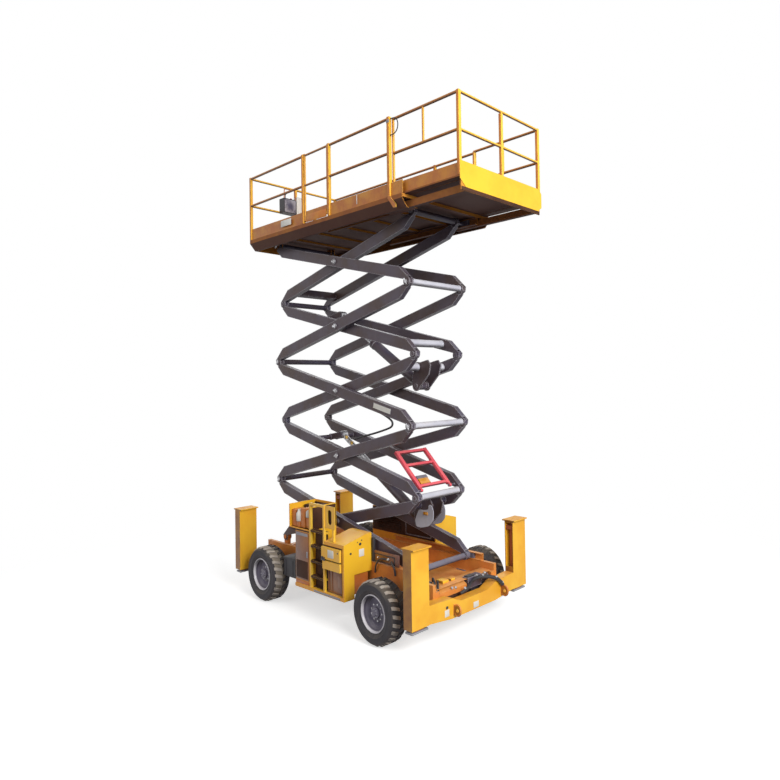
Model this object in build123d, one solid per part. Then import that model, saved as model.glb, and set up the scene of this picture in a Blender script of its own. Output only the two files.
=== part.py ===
"""Rough-terrain scissor lift with five stacks, standing part way raised.

Millimetres, +Z up, +X toward the end that the deck extension rolls out of,
-Y toward the side with the ground controls.  Each named piece is one solid
in its own STEP file.  The arms are drawn for the lowered machine, where every
tube lies level, and are then turned to the raised pose.
"""
import os
from math import asin, cos, degrees, pi, radians, sin, sqrt

from build123d import *

# ---------------------------------------------------------------- driving sizes
# wheels and axles
WHEELBASE = 2820.0
TYRE_R = 427.0
TYRE_W = 290.0
TYRE_OUT = 1125.0        # outer wall of a tyre from the middle plane
LUG_COUNT = 20           # lugs in each of the two rows of one tyre
LUG_H = 26.0
LUG_LEN = 66.0
BEAD_R = 248.0           # where the tyre sits on the rim
RIM_T = 10.0
HUB_R = 78.0
KINGPIN_IN = 90.0         # kingpin inside the inner wall of the tyre
AXLE_R = 66.0
STEER_PIN_R = 24.0
KNUCKLE_H = 170.0
SPINDLE_R = 42.0
SPINDLE_IN = 115.0        # spindle's end inside the outer wall of the tyre

# scissor stack
STACKS = 5
ARM_P = 3480.0           # from pivot to pivot of one arm
ARM_H = 165.0            # height of the arm tube
ARM_W = 80.0             # width of the arm tube
EDGE_OFF = 20.0          # pivot axis beyond the near edge of the tube
RISE = 1000.0            # height that each stack adds in this pose
PIVOT_Z = 840.0          # lowest pivots above the ground
PIVOT_XL = -1790.0       # fixed pivots, at the -X end
OUTER_Y = 520.0          # middle plane of the outer arms
INNER_Y = 420.0          # middle plane of the inner arms
KNUCKLE_R = 62.0
TAPER = 200.0            # length of the cut at each arm end
NOSE = 58.0              # arm end beyond its pivot
CHEEK_T = 14.0
TONGUE_W = 50.0
PIN_R = 25.0
TIE_R = 45.0             # cross tubes between the two arms of a frame
CENTRE_PIN_R = 30.0
HEAD_T = 10.0
HEAD_R = 36.0

# clearances
FIT = 0.1                # radial, pin in its own hinge
OPEN_FIT = 1.0           # radial, pin at the pivots where a loop is opened
SIDE_GAP = 1.0
SEAT = 0.3               # between a piece and what it stands on
TURN_GAP = 5.0           # round a knuckle that turns
TRACK_GAP = 2.0          # slide block in its channel

# lift cylinders: each runs from one inner frame to the next, round their joint at +X
FOOT_RUN = 450.0         # foot pin, back from the joint along the lower frame
FOOT_DROP = 330.0        # foot pin, below the pivot line
EYE_RUN = 2400.0         # rod's eye, back from the joint along the upper frame
EYE_UP = 70.0            # rod's eye, above the pivot line
BARREL_R = 75.0
BARREL_X0 = 140.0        # from the foot pin to the barrel
BARREL_L = 1300.0        # from the foot pin to the gland's face
ROD_X0 = 500.0           # inner end of the rod, from the foot pin
ROD_R = 42.0
EYE_R = 62.0
EYE_W = 90.0
CYL_PIN_R = 30.0
LUG_T = 18.0
LUG_GAP = 4.0
LUG_TUBE_R = 40.0
EYE_TUBE_RUN = 260.0     # from the rod's eye to the cross tube that carries its lugs
HANGER_Y = 92.0          # hanger plates pass outside the barrel
HANGER_T = 18.0
HANGER_R = 78.0          # round end of a hanger plate
STUB_RUN = 330.0         # cross tube near a joint, back from it along the frame
STUB_R = 48.0

# safety prop
PROP_L = 740.0
PROP_W = 600.0
PROP_T = 36.0
PROP_PIN_R = 14.0
PROP_LEAN = 43.0
PROP_BARS = (0.08, 0.64, 1.0)    # bars, as shares of its length

# slide blocks and channels
BLOCK_L = 220.0
BLOCK_H = 80.0
BLOCK_Y0 = 578.0
BLOCK_Y1 = 614.0
CHANNEL_Y0 = 570.0
CHANNEL_T = 10.0
PIN_SEAT = 22.0          # how far the top pin reaches into its slide blocks
HIGH = 60.0              # slope of a pivot line when fully raised, degrees

# chassis
FRAME_X = 2053.0         # half length of the frame rails
RAIL_Y0 = 575.0
RAIL_Y1 = 628.0
RAIL_Z0 = 600.0
BELLY_DROP = 14.0        # belly plate below the rails
POD_IN = RAIL_Y1 + SEAT   # the side housings are bolted to the rails
COL_X = 2208.0           # outer face of the corner columns
COL_DX = 155.0
COL_DY = 292.0
COL_Y = 1127.0
COL_Z0 = 384.0
COL_Z1 = 1384.0
COL_WALL = 12.0
CAP_LIP = 40.0
CAP_T = 18.0
BEAM_Z0 = 340.0
BEAM_Z1 = 625.0
BEAM_DIP = 530.0
WINDOW_Z0 = 700.0
WINDOW_Z1 = 1340.0
JACK_X = 96.0
JACK_Y = 150.0
JACK_Z0 = 356.0
JACK_Z1 = 1330.0
EYES_Y = (-395.0, 560.0)
EYE_Z = 450.0
EYE_OUT = 66.0           # bore axis beyond the face of the cross beam
EYE_LUG_R = 62.0
EYE_LUG_T = 22.0
EYE_BORE_R = 25.0
CROSS_X = (PIVOT_XL, -700.0, 500.0, 1860.0)

# side equipment between the wheels
POD_Y = 1100.0
POD_Z0 = 490.0
TRAY_T = 50.0
HOOD_X0 = 345.0
HOOD_X1 = 790.0
HOOD_Z0 = 830.0
HOOD_SHOULDER = 1215.0
HOOD_TOP = 1310.0
HOOD_FLAT = 60.0
WING_T = 40.0
BOX_DEEP = 28.0          # ground control boxes
BOX_SPLIT = 118.0
BOX_GAP = 22.0
ARCH_Y = 930.0
ARCH_Z = 775.0
CABINET_X0 = -430.0
CABINET_X1 = -60.0
CABINET_Z1 = 1290.0
BIN_X0 = -600.0
BIN_Z1 = 1640.0
GUARD_X0 = -42.0
GUARD_X1 = 330.0
GUARD_Z1 = 1715.0
GUARD_W = 34.0
OVAL_X1 = 570.0
OVAL_Z0 = 1400.0
STEPS = 4                # treads of the ladder
STEP_Z0 = 640.0
STEP_RISE = 220.0
STEP_DEEP = 90.0
STEP_T = 26.0
FAR_X0 = -800.0
FAR_X1 = 780.0

# platform
FLOOR_Z = PIVOT_Z + STACKS * RISE + 95.0
FLOOR_T = 10.0
DECK_X0 = -2128.0
DECK_PAST = 287.0         # deck beyond the right-hand pivots here
DECK_Y = 862.0
TOE_H = 185.0
TOE_T = 4.0
TOP_RAIL = 1078.0        # above the floor
MID_RAIL = 592.0
TUBE_R = 19.0
RAIL_LINE_Y = 843.0
EXT_LINE_Y = 797.0
EXT_OUT = 995.0          # how far the extension stands out here
EXT_LEN = 1900.0
EXT_FLOOR_GAP = 5.0
EXT_T = 20.0
WEB_T = 18.0
END_T = 6.0
RUNNER_L = 1500.0
RUNNER_Y0 = 650.0
RUNNER_Y1 = 715.0
GATE_X0 = -499.0
GATE_X1 = 182.0
THIRD_IN = 262.0         # third post back from the end of the main deck
STRUT_OUT = 358.0        # short strut of the extension's rails
POST_W = 40.0
SIDE_Z0 = FLOOR_Z - 173.0
GATE_GAP = 6.0
GATE_LOW = 40.0
GATE_THIN = 3.0          # gate tube smaller than the rail tube, on the radius
EXT_Y = 815.0
RUNNER_Z0 = FLOOR_Z - 155.0
RUNNER_Z1 = FLOOR_Z - 60.0
EXT_RAIL_IN = 230.0

# ---------------------------------------------------------------- worked out
PIVOT_RISE = ARM_H + 2 * EDGE_OFF            # what one stack adds when lowered
LOW = degrees(asin(PIVOT_RISE / ARM_P))      # slope of a pivot line when lowered
REST = degrees(asin(RISE / ARM_P))           # slope of a pivot line here
ARM_RUN = sqrt(ARM_P**2 - PIVOT_RISE**2)     # level distance, pivots, lowered
SPAN = ARM_P * cos(radians(REST))            # level distance, pivots, here
PIVOT_XR = PIVOT_XL + SPAN
TOP_Z = PIVOT_Z + STACKS * RISE
TYRE_IN = TYRE_OUT - TYRE_W
KINGPIN_Y = TYRE_IN - KINGPIN_IN
SPINDLE_Y = TYRE_OUT - SPINDLE_IN
TILT = REST - LOW
DECK_X1 = round(PIVOT_XR) + DECK_PAST
EXT_X1 = DECK_X1 + EXT_OUT
THIRD_X = DECK_X1 - THIRD_IN
STRUT_X = DECK_X1 + STRUT_OUT
EXT_RAIL_X0 = DECK_X1 - EXT_RAIL_IN
PROP_X = PIVOT_XR - 70.0
PROP_Z = PIVOT_Z + RISE + 80.0
BOX_X0 = -(COL_X + EYE_OUT + EYE_LUG_R)
BOX_X1 = EXT_X1 + WEB_T + SEAT + END_T
GATE_HINGE_X = GATE_X0 + POST_W / 2 + GATE_GAP + TUBE_R - GATE_THIN
GATE_HINGE_Y = -RAIL_LINE_Y
SHIFT_X = -(BOX_X0 + BOX_X1) / 2             # puts the origin under the middle


# ---------------------------------------------------------------- small helpers
def block(x0, x1, y0, y1, z0, z1):
    """A box between six planes."""
    return Pos((x0 + x1) / 2, (y0 + y1) / 2, (z0 + z1) / 2) * Box(x1 - x0, y1 - y0, z1 - z0)


def both(solid):
    """The solid and its mirror image in the middle plane."""
    return solid + mirror(solid, about=Plane.XZ)


def side_plate(points, y0, y1):
    """A flat outline in X and Z, made thick along Y."""
    face = make_face(Polyline(*[(x, 0, z) for x, z in points], close=True))
    return extrude(Pos(0, y0, 0) * face, amount=y1 - y0, dir=(0, 1, 0))


def end_plate(points, x0, x1):
    """A flat outline in Y and Z, made thick along X."""
    face = make_face(Polyline(*[(0, y, z) for y, z in points], close=True))
    return extrude(Pos(x0, 0, 0) * face, amount=x1 - x0, dir=(1, 0, 0))


def bar_y(x, z, y0, y1, r):
    """A round bar along Y."""
    return Pos(x, (y0 + y1) / 2, z) * Rot(90, 0, 0) * Cylinder(r, y1 - y0)


def bar_x(y, z, x0, x1, r):
    """A round bar along X."""
    return Pos((x0 + x1) / 2, y, z) * Rot(0, 90, 0) * Cylinder(r, x1 - x0)


def bar_z(x, y, z0, z1, r):
    """A round bar along Z."""
    return Pos(x, y, (z0 + z1) / 2) * Cylinder(r, z1 - z0)


def fuse(pieces):
    """One shape from a list of overlapping pieces."""
    whole = pieces[0]
    for piece in pieces[1:]:
        whole = whole + piece
    return whole


# ---------------------------------------------------------------- scissor frames
def arm(y_mid, lower_fit):
    """One arm, level, from its lower pivot at the origin to +X.

    The lower end is a fork and the upper end a tongue.  Both ends are cut back
    on the far side, so that the next stack can fold down on this one.
    """
    half = ARM_W / 2
    far = EDGE_OFF + ARM_H
    top = PIVOT_RISE
    outline = [
        (-NOSE, EDGE_OFF), (ARM_RUN - TAPER, EDGE_OFF),
        (ARM_RUN + NOSE, top - EDGE_OFF - 25), (ARM_RUN + NOSE, top - EDGE_OFF),
        (TAPER, far), (-NOSE, EDGE_OFF + 25),
    ]
    relief = sqrt(NOSE**2 + (EDGE_OFF + 25) ** 2) + TURN_GAP
    tube = side_plate(outline, y_mid - half, y_mid + half)
    tube -= bar_y(0, 0, y_mid - half, y_mid + half, relief)
    tube -= bar_y(ARM_RUN, top, y_mid - half, y_mid + half, relief)

    lower = [(-NOSE, EDGE_OFF), (TAPER, EDGE_OFF), (TAPER, far), (-NOSE, EDGE_OFF + 25)]
    cheek = side_plate(lower, -CHEEK_T / 2, CHEEK_T / 2) + bar_y(0, 0, -CHEEK_T / 2, CHEEK_T / 2, KNUCKLE_R)
    cheek -= bar_y(0, 0, -CHEEK_T, CHEEK_T, PIN_R + lower_fit)
    cheek_y = half - CHEEK_T / 2

    upper = [
        (ARM_RUN - TAPER, EDGE_OFF), (ARM_RUN + NOSE, top - EDGE_OFF - 25),
        (ARM_RUN + NOSE, top - EDGE_OFF), (ARM_RUN - TAPER, top - EDGE_OFF),
    ]
    tongue = side_plate(upper, y_mid - TONGUE_W / 2, y_mid + TONGUE_W / 2)
    tongue += bar_y(ARM_RUN, top, y_mid - TONGUE_W / 2, y_mid + TONGUE_W / 2, KNUCKLE_R)
    return fuse([tube, Pos(0, y_mid - cheek_y, 0) * cheek, Pos(0, y_mid + cheek_y, 0) * cheek, tongue])


def cross_pin(x, z, y_mid, reach=0):
    """The pin of one pivot line, with its tube between the arms and its heads."""
    seat = y_mid + ARM_W / 2 + SIDE_GAP
    inside = y_mid - ARM_W / 2 - SIDE_GAP
    end = max(seat + HEAD_T, reach)
    pin = bar_y(x, z, -end, end, PIN_R)
    tube = bar_y(x, z, -inside, inside, TIE_R)
    return fuse([pin, tube, both(bar_y(x, z, seat, seat + HEAD_T, HEAD_R))])


def short_pins(x, z, y_mid):
    """The pins of a pivot line that has no tube between its arms."""
    seat = y_mid + ARM_W / 2 + SIDE_GAP
    inside = y_mid - ARM_W / 2 - SIDE_GAP
    pin = bar_y(x, z, inside - HEAD_T, seat + HEAD_T, PIN_R)
    heads = [bar_y(x, z, seat, seat + HEAD_T, HEAD_R), bar_y(x, z, inside - HEAD_T, inside, HEAD_R)]
    return both(fuse([pin] + heads))


def lay_frame(shape, level, rises_right):
    """Put a level frame at its place in the stack."""
    z = PIVOT_Z + (level - 1) * RISE
    if rises_right:
        return Pos(PIVOT_XL, 0, z) * Rot(0, -TILT, 0) * shape
    return Pos(PIVOT_XR, 0, z) * Rot(0, TILT, 0) * mirror(shape, about=Plane.YZ)


def outer_frame(level):
    """The outer pair of arms of one stack, with their upper cross pin."""
    fit = FIT if level == 1 else OPEN_FIT
    side = arm(OUTER_Y, fit)
    side -= bar_y(ARM_RUN / 2, PIVOT_RISE / 2, OUTER_Y - ARM_W, OUTER_Y + ARM_W, CENTRE_PIN_R + FIT)
    frame = fuse([both(side), cross_pin(ARM_RUN, PIVOT_RISE, OUTER_Y)])
    return lay_frame(frame, level, level % 2 == 0)


def inner_frame(level):
    """The inner pair of arms of one stack, with cross pin, centre pins and lugs."""
    seat = OUTER_Y + ARM_W / 2 + SIDE_GAP
    face = INNER_Y + ARM_W / 2
    mid_x = ARM_RUN / 2
    mid_z = PIVOT_RISE / 2
    centre = fuse([
        bar_y(mid_x, mid_z, INNER_Y, seat + HEAD_T, CENTRE_PIN_R),
        bar_y(mid_x, mid_z, face - 1, OUTER_Y - ARM_W / 2 - SIDE_GAP, CENTRE_PIN_R + 14),
        bar_y(mid_x, mid_z, seat, seat + HEAD_T, CENTRE_PIN_R + 14),
    ])
    reach = BLOCK_Y0 + PIN_SEAT - 1 if level == STACKS else 0
    if level in (2, 3):
        pin = short_pins(ARM_RUN, PIVOT_RISE, INNER_Y)
    else:
        pin = cross_pin(ARM_RUN, PIVOT_RISE, INNER_Y, reach)
    frame = fuse([both(arm(INNER_Y, FIT) + centre), pin])
    if level == 2:
        frame = frame + prop_pins()
    if level in (1, 3):
        frame = frame + hangers()
    if level in (2, 4):
        frame = frame + eye_lugs()
    if level in (4, 5):
        frame = frame + inner_tube(STUB_RUN, EDGE_OFF + ARM_H / 2, STUB_R)
    return lay_frame(frame, level, level % 2 == 1)


def lug_pair(pin, tube):
    """Two plates from a cross tube to a pin, either side of a cylinder's eye."""
    (px, pz), (tx, tz) = pin, tube
    y0 = EYE_W / 2 + LUG_GAP
    dx, dz = tx - px, tz - pz
    long = sqrt(dx * dx + dz * dz)
    nx, nz = -dz / long, dx / long
    web = [
        (px + nx * 50, pz + nz * 50), (tx + nx * 50, tz + nz * 50),
        (tx - nx * 50, tz - nz * 50), (px - nx * 50, pz - nz * 50),
    ]
    plate = side_plate(web, y0, y0 + LUG_T) + bar_y(px, pz, y0, y0 + LUG_T, 55)
    return both(plate + bar_y(tx, tz, y0, y0 + LUG_T, 55))


def prop_pins():
    """Stub pins inside the arms that the safety prop hangs on."""
    a = radians(TILT)
    run, up = PIVOT_XR - PROP_X, PROP_Z - PIVOT_Z - RISE
    x = run * cos(a) + up * sin(a)
    z = up * cos(a) - run * sin(a)
    return both(bar_y(x, z, PROP_W / 2 - PROP_T - 12, INNER_Y - ARM_W / 2 + 2, PROP_PIN_R))


def inner_tube(x, z, r):
    """A cross tube between the inner arms."""
    end = INNER_Y - ARM_W / 2 + 2
    return bar_y(x, z, -end, end, r)


def hangers():
    """The two curved plates that hold the foot of a lift cylinder, with their tubes."""
    foot_x, foot_z = level_point(ARM_P - FOOT_RUN, -FOOT_DROP)
    tube_x = ARM_RUN - STUB_RUN
    tube_z = EDGE_OFF + ARM_H / 2
    y0, y1 = HANGER_Y, HANGER_Y + HANGER_T
    web = [
        (foot_x - HANGER_R, foot_z), (foot_x - HANGER_R * 0.6, foot_z + 150),
        (tube_x - HANGER_R, tube_z), (tube_x, tube_z + 60), (ARM_RUN - 95, tube_z + 50),
        (ARM_RUN - 60, tube_z - 40), (ARM_RUN - 130, foot_z + 90), (foot_x + HANGER_R * 0.8, foot_z - 45),
    ]
    plate = side_plate(web, y0, y1) + bar_y(foot_x, foot_z, y0, y1, HANGER_R)
    plate += bar_y(tube_x, tube_z, y0, y1, HANGER_R)
    boss = bar_y(foot_x, foot_z, EYE_W / 2 + LUG_GAP, y0 + 1, CYL_PIN_R + 22)
    tube = bar_y(tube_x, tube_z, y0 + 1, INNER_Y - ARM_W / 2 + 2, STUB_R)
    pin = bar_y(foot_x, foot_z, -y1 - 6, y1 + 6, CYL_PIN_R)
    return both(fuse([plate, boss, tube])) + pin


def eye_lugs():
    """Lugs that stand either side of a lift cylinder's rod eye, on a cross tube."""
    eye = level_point(EYE_RUN, EYE_UP)
    tube = (eye[0] + EYE_TUBE_RUN, EDGE_OFF + ARM_H / 2)
    return lug_pair(eye, tube) + inner_tube(*tube, LUG_TUBE_R)


def level_point(run, above):
    """A point along the pivot line from the lower pivot, and above it, in the level frame."""
    a = radians(LOW)
    return (run * cos(a) - above * sin(a), run * sin(a) + above * cos(a))


def cylinder_line(level):
    """Foot, rod eye, length and slope of the lift cylinder whose foot is on a frame.

    The slope is that of a line that rises towards -X from the foot.
    """
    a = radians(REST)
    z0 = PIVOT_Z + level * RISE
    foot = (
        PIVOT_XR - FOOT_RUN * cos(a) + FOOT_DROP * sin(a),
        z0 - FOOT_RUN * sin(a) - FOOT_DROP * cos(a),
    )
    eye = (
        PIVOT_XR - EYE_RUN * cos(a) + EYE_UP * sin(a),
        z0 + EYE_RUN * sin(a) + EYE_UP * cos(a),
    )
    dx, dz = foot[0] - eye[0], eye[1] - foot[1]
    long = sqrt(dx * dx + dz * dz)
    return foot, eye, long, degrees(asin(dz / long))


def lift_barrel(level):
    """Barrel of a lift cylinder, with its foot eye and gland."""
    foot, _, _, slope = cylinder_line(level)
    body = bar_x(0, 0, BARREL_X0, BARREL_L, BARREL_R)
    body += block(0, BARREL_X0 + 1, -EYE_W / 2, EYE_W / 2, -EYE_R + 14, EYE_R - 14)
    body += bar_x(0, 0, BARREL_L - 70, BARREL_L, BARREL_R + 8)
    body += bar_y(0, 0, -EYE_W / 2, EYE_W / 2, EYE_R)
    body -= bar_y(0, 0, -EYE_W, EYE_W, CYL_PIN_R + FIT)
    body -= bar_x(0, 0, BARREL_X0 + 20, BARREL_L + 1, ROD_R + FIT)
    return Pos(foot[0], 0, foot[1]) * Rot(0, slope - 180, 0) * body


def lift_rod(level):
    """Rod of a lift cylinder, with the eye where the linkage is opened."""
    foot, _, long, slope = cylinder_line(level)
    body = bar_x(0, 0, ROD_X0, long - EYE_R + 8, ROD_R)
    body += bar_y(long, 0, -EYE_W / 2, EYE_W / 2, EYE_R)
    return Pos(foot[0], 0, foot[1]) * Rot(0, slope - 180, 0) * body


def slide_blocks(x, z):
    """The two slide blocks of one cross pin."""
    x0, x1 = x - BLOCK_L / 2, x + BLOCK_L / 2
    return both(block(x0, x1, BLOCK_Y0, BLOCK_Y1, z - BLOCK_H / 2, z + BLOCK_H / 2))


def base_slider():
    """Lower slide: a cross pin in the outer forks, with blocks in the chassis channels."""
    inside = OUTER_Y - ARM_W / 2 - SIDE_GAP
    tongue = bar_y(PIVOT_XR, PIVOT_Z, OUTER_Y - TONGUE_W / 2, OUTER_Y + TONGUE_W / 2, KNUCKLE_R)
    return fuse([
        slide_blocks(PIVOT_XR, PIVOT_Z),
        bar_y(PIVOT_XR, PIVOT_Z, -BLOCK_Y0 - 1, BLOCK_Y0 + 1, PIN_R),
        bar_y(PIVOT_XR, PIVOT_Z, -inside, inside, TIE_R),
        both(tongue),
    ])


def top_slider():
    """Upper slide: two blocks on the ends of the top inner cross pin."""
    bore = bar_y(PIVOT_XR, TOP_Z, -BLOCK_Y0 - PIN_SEAT, BLOCK_Y0 + PIN_SEAT, PIN_R + FIT)
    return slide_blocks(PIVOT_XR, TOP_Z) - bore


def channel(x0, x1, z):
    """One channel that opens inward, round the path of a slide block."""
    half = BLOCK_H / 2 + TRACK_GAP
    web_y = BLOCK_Y1 + TRACK_GAP
    outside = block(x0, x1, CHANNEL_Y0, web_y + CHANNEL_T, z - half - CHANNEL_T, z + half + CHANNEL_T)
    return outside - block(x0 - 1, x1 + 1, CHANNEL_Y0 - 1, web_y, z - half, z + half)


def track_ends():
    """Ends of the channels: the blocks' travel from lowered to fully raised."""
    low = PIVOT_XL + ARM_P * cos(radians(LOW))
    high = PIVOT_XL + ARM_P * cos(radians(HIGH))
    margin = BLOCK_L / 2 + 15
    return high - margin, low + margin


def lift_prop():
    """The hinged safety prop: two rails and three bars, leaning back from its pivots."""
    x, z = PROP_X, PROP_Z
    rails = both(block(0, PROP_L, PROP_W / 2 - PROP_T, PROP_W / 2, -PROP_T / 2, PROP_T / 2))
    pieces = [rails]
    for share in PROP_BARS:
        x1 = share * (PROP_L - PROP_T) + PROP_T
        pieces.append(block(x1 - PROP_T, x1, -PROP_W / 2, PROP_W / 2, -PROP_T / 2, PROP_T / 2))
    pieces.append(both(bar_y(0, 0, PROP_W / 2 - PROP_T, PROP_W / 2, PROP_T * 0.7)))
    frame = fuse(pieces) - bar_y(0, 0, -PROP_W, PROP_W, PROP_PIN_R + FIT)
    return Pos(x, 0, z) * Rot(0, 180 + PROP_LEAN, 0) * frame


# ---------------------------------------------------------------- chassis
def chassis_frame():
    """Two box rails with cross members, the lower channels and the fixed pivot ears."""
    x0, x1 = track_ends()
    half = BLOCK_H / 2 + TRACK_GAP + CHANNEL_T
    rail = block(-FRAME_X, FRAME_X, RAIL_Y0, RAIL_Y1, RAIL_Z0, PIVOT_Z - half + 1)
    foot = block(FRAME_X - 130, FRAME_X, RAIL_Y0 - 60, RAIL_Y1, BEAM_Z0 + 40, RAIL_Z0 + 90)
    side = fuse([
        rail, channel(x0, x1, PIVOT_Z), foot, mirror(foot, about=Plane.YZ),
        pivot_ear(),
    ])
    pieces = [both(side)]
    for x in CROSS_X:
        pieces.append(block(x - 60, x + 60, -RAIL_Y0 - 5, RAIL_Y0 + 5, RAIL_Z0 + 10, RAIL_Z0 + 90))
    return fuse(pieces + [end_deck(), belly_plate()])


def belly_plate():
    """The thin plate that closes the frame below, hung under the rails and cut round the axles."""
    x0, x1 = CROSS_X[0], CROSS_X[-1]
    z = RAIL_Z0 - BELLY_DROP
    plate = block(x0, x1, -RAIL_Y0 - 8, RAIL_Y0 + 8, z, z + 8)
    plate += both(block(x0, x1, RAIL_Y0 - 10, RAIL_Y0 + 8, z, RAIL_Z0 + 1))
    for x in (-WHEELBASE / 2, WHEELBASE / 2):
        plate -= both(block(x - 95, x + 95, RAIL_Y0 - 45, RAIL_Y0 + 9, z - 1, RAIL_Z0))
    return plate


def end_deck():
    """The folded plate over the +X end of the frame, in front of the last cross member."""
    x0, x1 = CROSS_X[-1] + 59, FRAME_X - 30
    z = RAIL_Z0 + 96
    outline = [
        (x0 - 190, z), (x0, z), (x1, z - 60), (x1, z - 130), (x1 - 8, z - 130),
        (x1 - 8, z - 66), (x0, z - 8), (x0 - 190, z - 8),
    ]
    return side_plate(outline, -RAIL_Y0 - 5, 40)


def pivot_ear():
    """One ear of the fixed lower pivot: a tongue in the inner fork, with its pin."""
    y0, y1 = INNER_Y - TONGUE_W / 2, INNER_Y + TONGUE_W / 2
    seat = INNER_Y + ARM_W / 2 + SIDE_GAP
    near = INNER_Y - ARM_W / 2 - SIDE_GAP
    web = [
        (PIVOT_XL - 58, RAIL_Z0 + 40), (PIVOT_XL + 58, RAIL_Z0 + 40),
        (PIVOT_XL + KNUCKLE_R - 4, PIVOT_Z), (PIVOT_XL - KNUCKLE_R + 4, PIVOT_Z),
    ]
    return fuse([
        side_plate(web, y0, y1),
        bar_y(PIVOT_XL, PIVOT_Z, y0, y1, KNUCKLE_R),
        bar_y(PIVOT_XL, PIVOT_Z, near - HEAD_T, seat + HEAD_T, PIN_R),
        bar_y(PIVOT_XL, PIVOT_Z, seat, seat + HEAD_T, HEAD_R),
        bar_y(PIVOT_XL, PIVOT_Z, near - HEAD_T, near, HEAD_R),
    ])


def column():
    """One hollow corner column at +X, -Y, with its cap and the tall window inside."""
    x0, x1 = COL_X - COL_DX, COL_X
    y0, y1 = -COL_Y, -COL_Y + COL_DY
    t = COL_WALL
    shell = block(x0, x1, y0, y1, COL_Z0, COL_Z1)
    shell -= block(x0 + t, x1 - t, y0 + t, y1 - t, COL_Z0 - 1, COL_Z1 - CAP_T)
    window = block(x0 + t, x1 - t, y1 - t - 1, y1 + 1, WINDOW_Z0, WINDOW_Z1)
    cap = block(x0 - CAP_LIP, x1 + CAP_LIP, y0, y1 + 12, COL_Z1 - CAP_T, COL_Z1)
    return shell - window + cap


def end_frame():
    """The U-shaped frame at +X: two columns joined by a low cross beam, with its eyes."""
    inner = COL_Y - COL_DY + 1
    outline = [
        (-inner, BEAM_Z1), (-inner, COL_Z0 + 6), (-430, BEAM_Z0), (430, BEAM_Z0),
        (inner, COL_Z0 + 6), (inner, BEAM_Z1), (430, BEAM_Z1 - 20),
        (260, BEAM_DIP), (-260, BEAM_DIP), (-430, BEAM_Z1 - 20),
    ]
    beam = end_plate(outline, COL_X - COL_DX, COL_X)
    return fuse([beam, both(column())] + [tie_eye(y) for y in EYES_Y])


def tie_eye(y):
    """A tie-down eye: a round-nosed lug that stands out of the cross beam."""
    y0, y1 = y - EYE_LUG_T / 2, y + EYE_LUG_T / 2
    x = COL_X + EYE_OUT
    lug_plate = fuse([
        bar_y(x, EYE_Z, y0, y1, EYE_LUG_R),
        block(COL_X - 1, x, y0, y1, EYE_Z - EYE_LUG_R, EYE_Z + EYE_LUG_R),
    ])
    return lug_plate - bar_y(x, EYE_Z, y0 - 1, y1 + 1, EYE_BORE_R)


def end_frames():
    """The end frames at both ends."""
    front = end_frame()
    return front + mirror(front, about=Plane.YZ)


def jack(end, side):
    """One stabiliser leg in its column, with the foot below it."""
    x = end * (COL_X - COL_DX / 2)
    y = side * (COL_Y - COL_DY / 2)
    leg = Pos(x, y, (JACK_Z0 + JACK_Z1) / 2) * Box(JACK_X, JACK_Y, JACK_Z1 - JACK_Z0)
    guide = Pos(x, y, JACK_Z1 - 60) * Box(COL_DX - 2 * COL_WALL - 1, COL_DY - 2 * COL_WALL - 1, 60)
    foot = Pos(x, y, JACK_Z0 - 10) * Box(JACK_X + 30, JACK_Y + 60, 22)
    return fuse([leg, guide, foot])


# ---------------------------------------------------------------- axles and wheels
def axle_seat(x):
    """The pads between an axle beam and the two frame rails."""
    return both(block(x - 90, x + 90, RAIL_Y0 - 40, RAIL_Y1, TYRE_R + 30, RAIL_Z0))


def front_axle():
    """The steered axle beam with the forks round its kingpins."""
    x, z = WHEELBASE / 2, TYRE_R
    top = KNUCKLE_H / 2 + 2
    beam = bar_y(x, z, -KINGPIN_Y + 100, KINGPIN_Y - 100, AXLE_R)
    bulb = Pos(x, 0, z) * Sphere(135)
    yoke = fuse([
        block(x - 45, x + 45, KINGPIN_Y - 130, KINGPIN_Y + 38, z + top, z + top + 22),
        block(x - 45, x + 45, KINGPIN_Y - 130, KINGPIN_Y + 38, z - top - 22, z - top),
        block(x - 45, x + 45, KINGPIN_Y - 130, KINGPIN_Y - 95, z - top - 22, z + top + 22),
        bar_z(x, KINGPIN_Y, z - top - 28, z + top + 28, STEER_PIN_R),
    ])
    return fuse([beam, bulb, both(yoke), axle_seat(x)])


def rear_axle():
    """The fixed axle beam with its spindles."""
    x, z = -WHEELBASE / 2, TYRE_R
    beam = bar_y(x, z, -TYRE_IN + 30, TYRE_IN - 30, AXLE_R)
    spindle = bar_y(x, z, -SPINDLE_Y, SPINDLE_Y, SPINDLE_R)
    bulb = Pos(x, 0, z) * Sphere(135)
    return fuse([beam, spindle, bulb, axle_seat(x)])


def knuckle(side):
    """A steering knuckle: a block on the kingpin with its wheel spindle."""
    x, z = WHEELBASE / 2, TYRE_R
    y = KINGPIN_Y
    body = block(x - 42, x + 42, y - 40, y + 62, z - KNUCKLE_H / 2, z + KNUCKLE_H / 2)
    body += bar_y(x, z, y + 30, SPINDLE_Y, SPINDLE_R)
    body += bar_y(x, z, y + 60, TYRE_IN + 30, HUB_R)
    body -= bar_z(x, y, z - KNUCKLE_H, z + KNUCKLE_H, STEER_PIN_R + FIT)
    return body if side > 0 else mirror(body, about=Plane.XZ)


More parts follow.
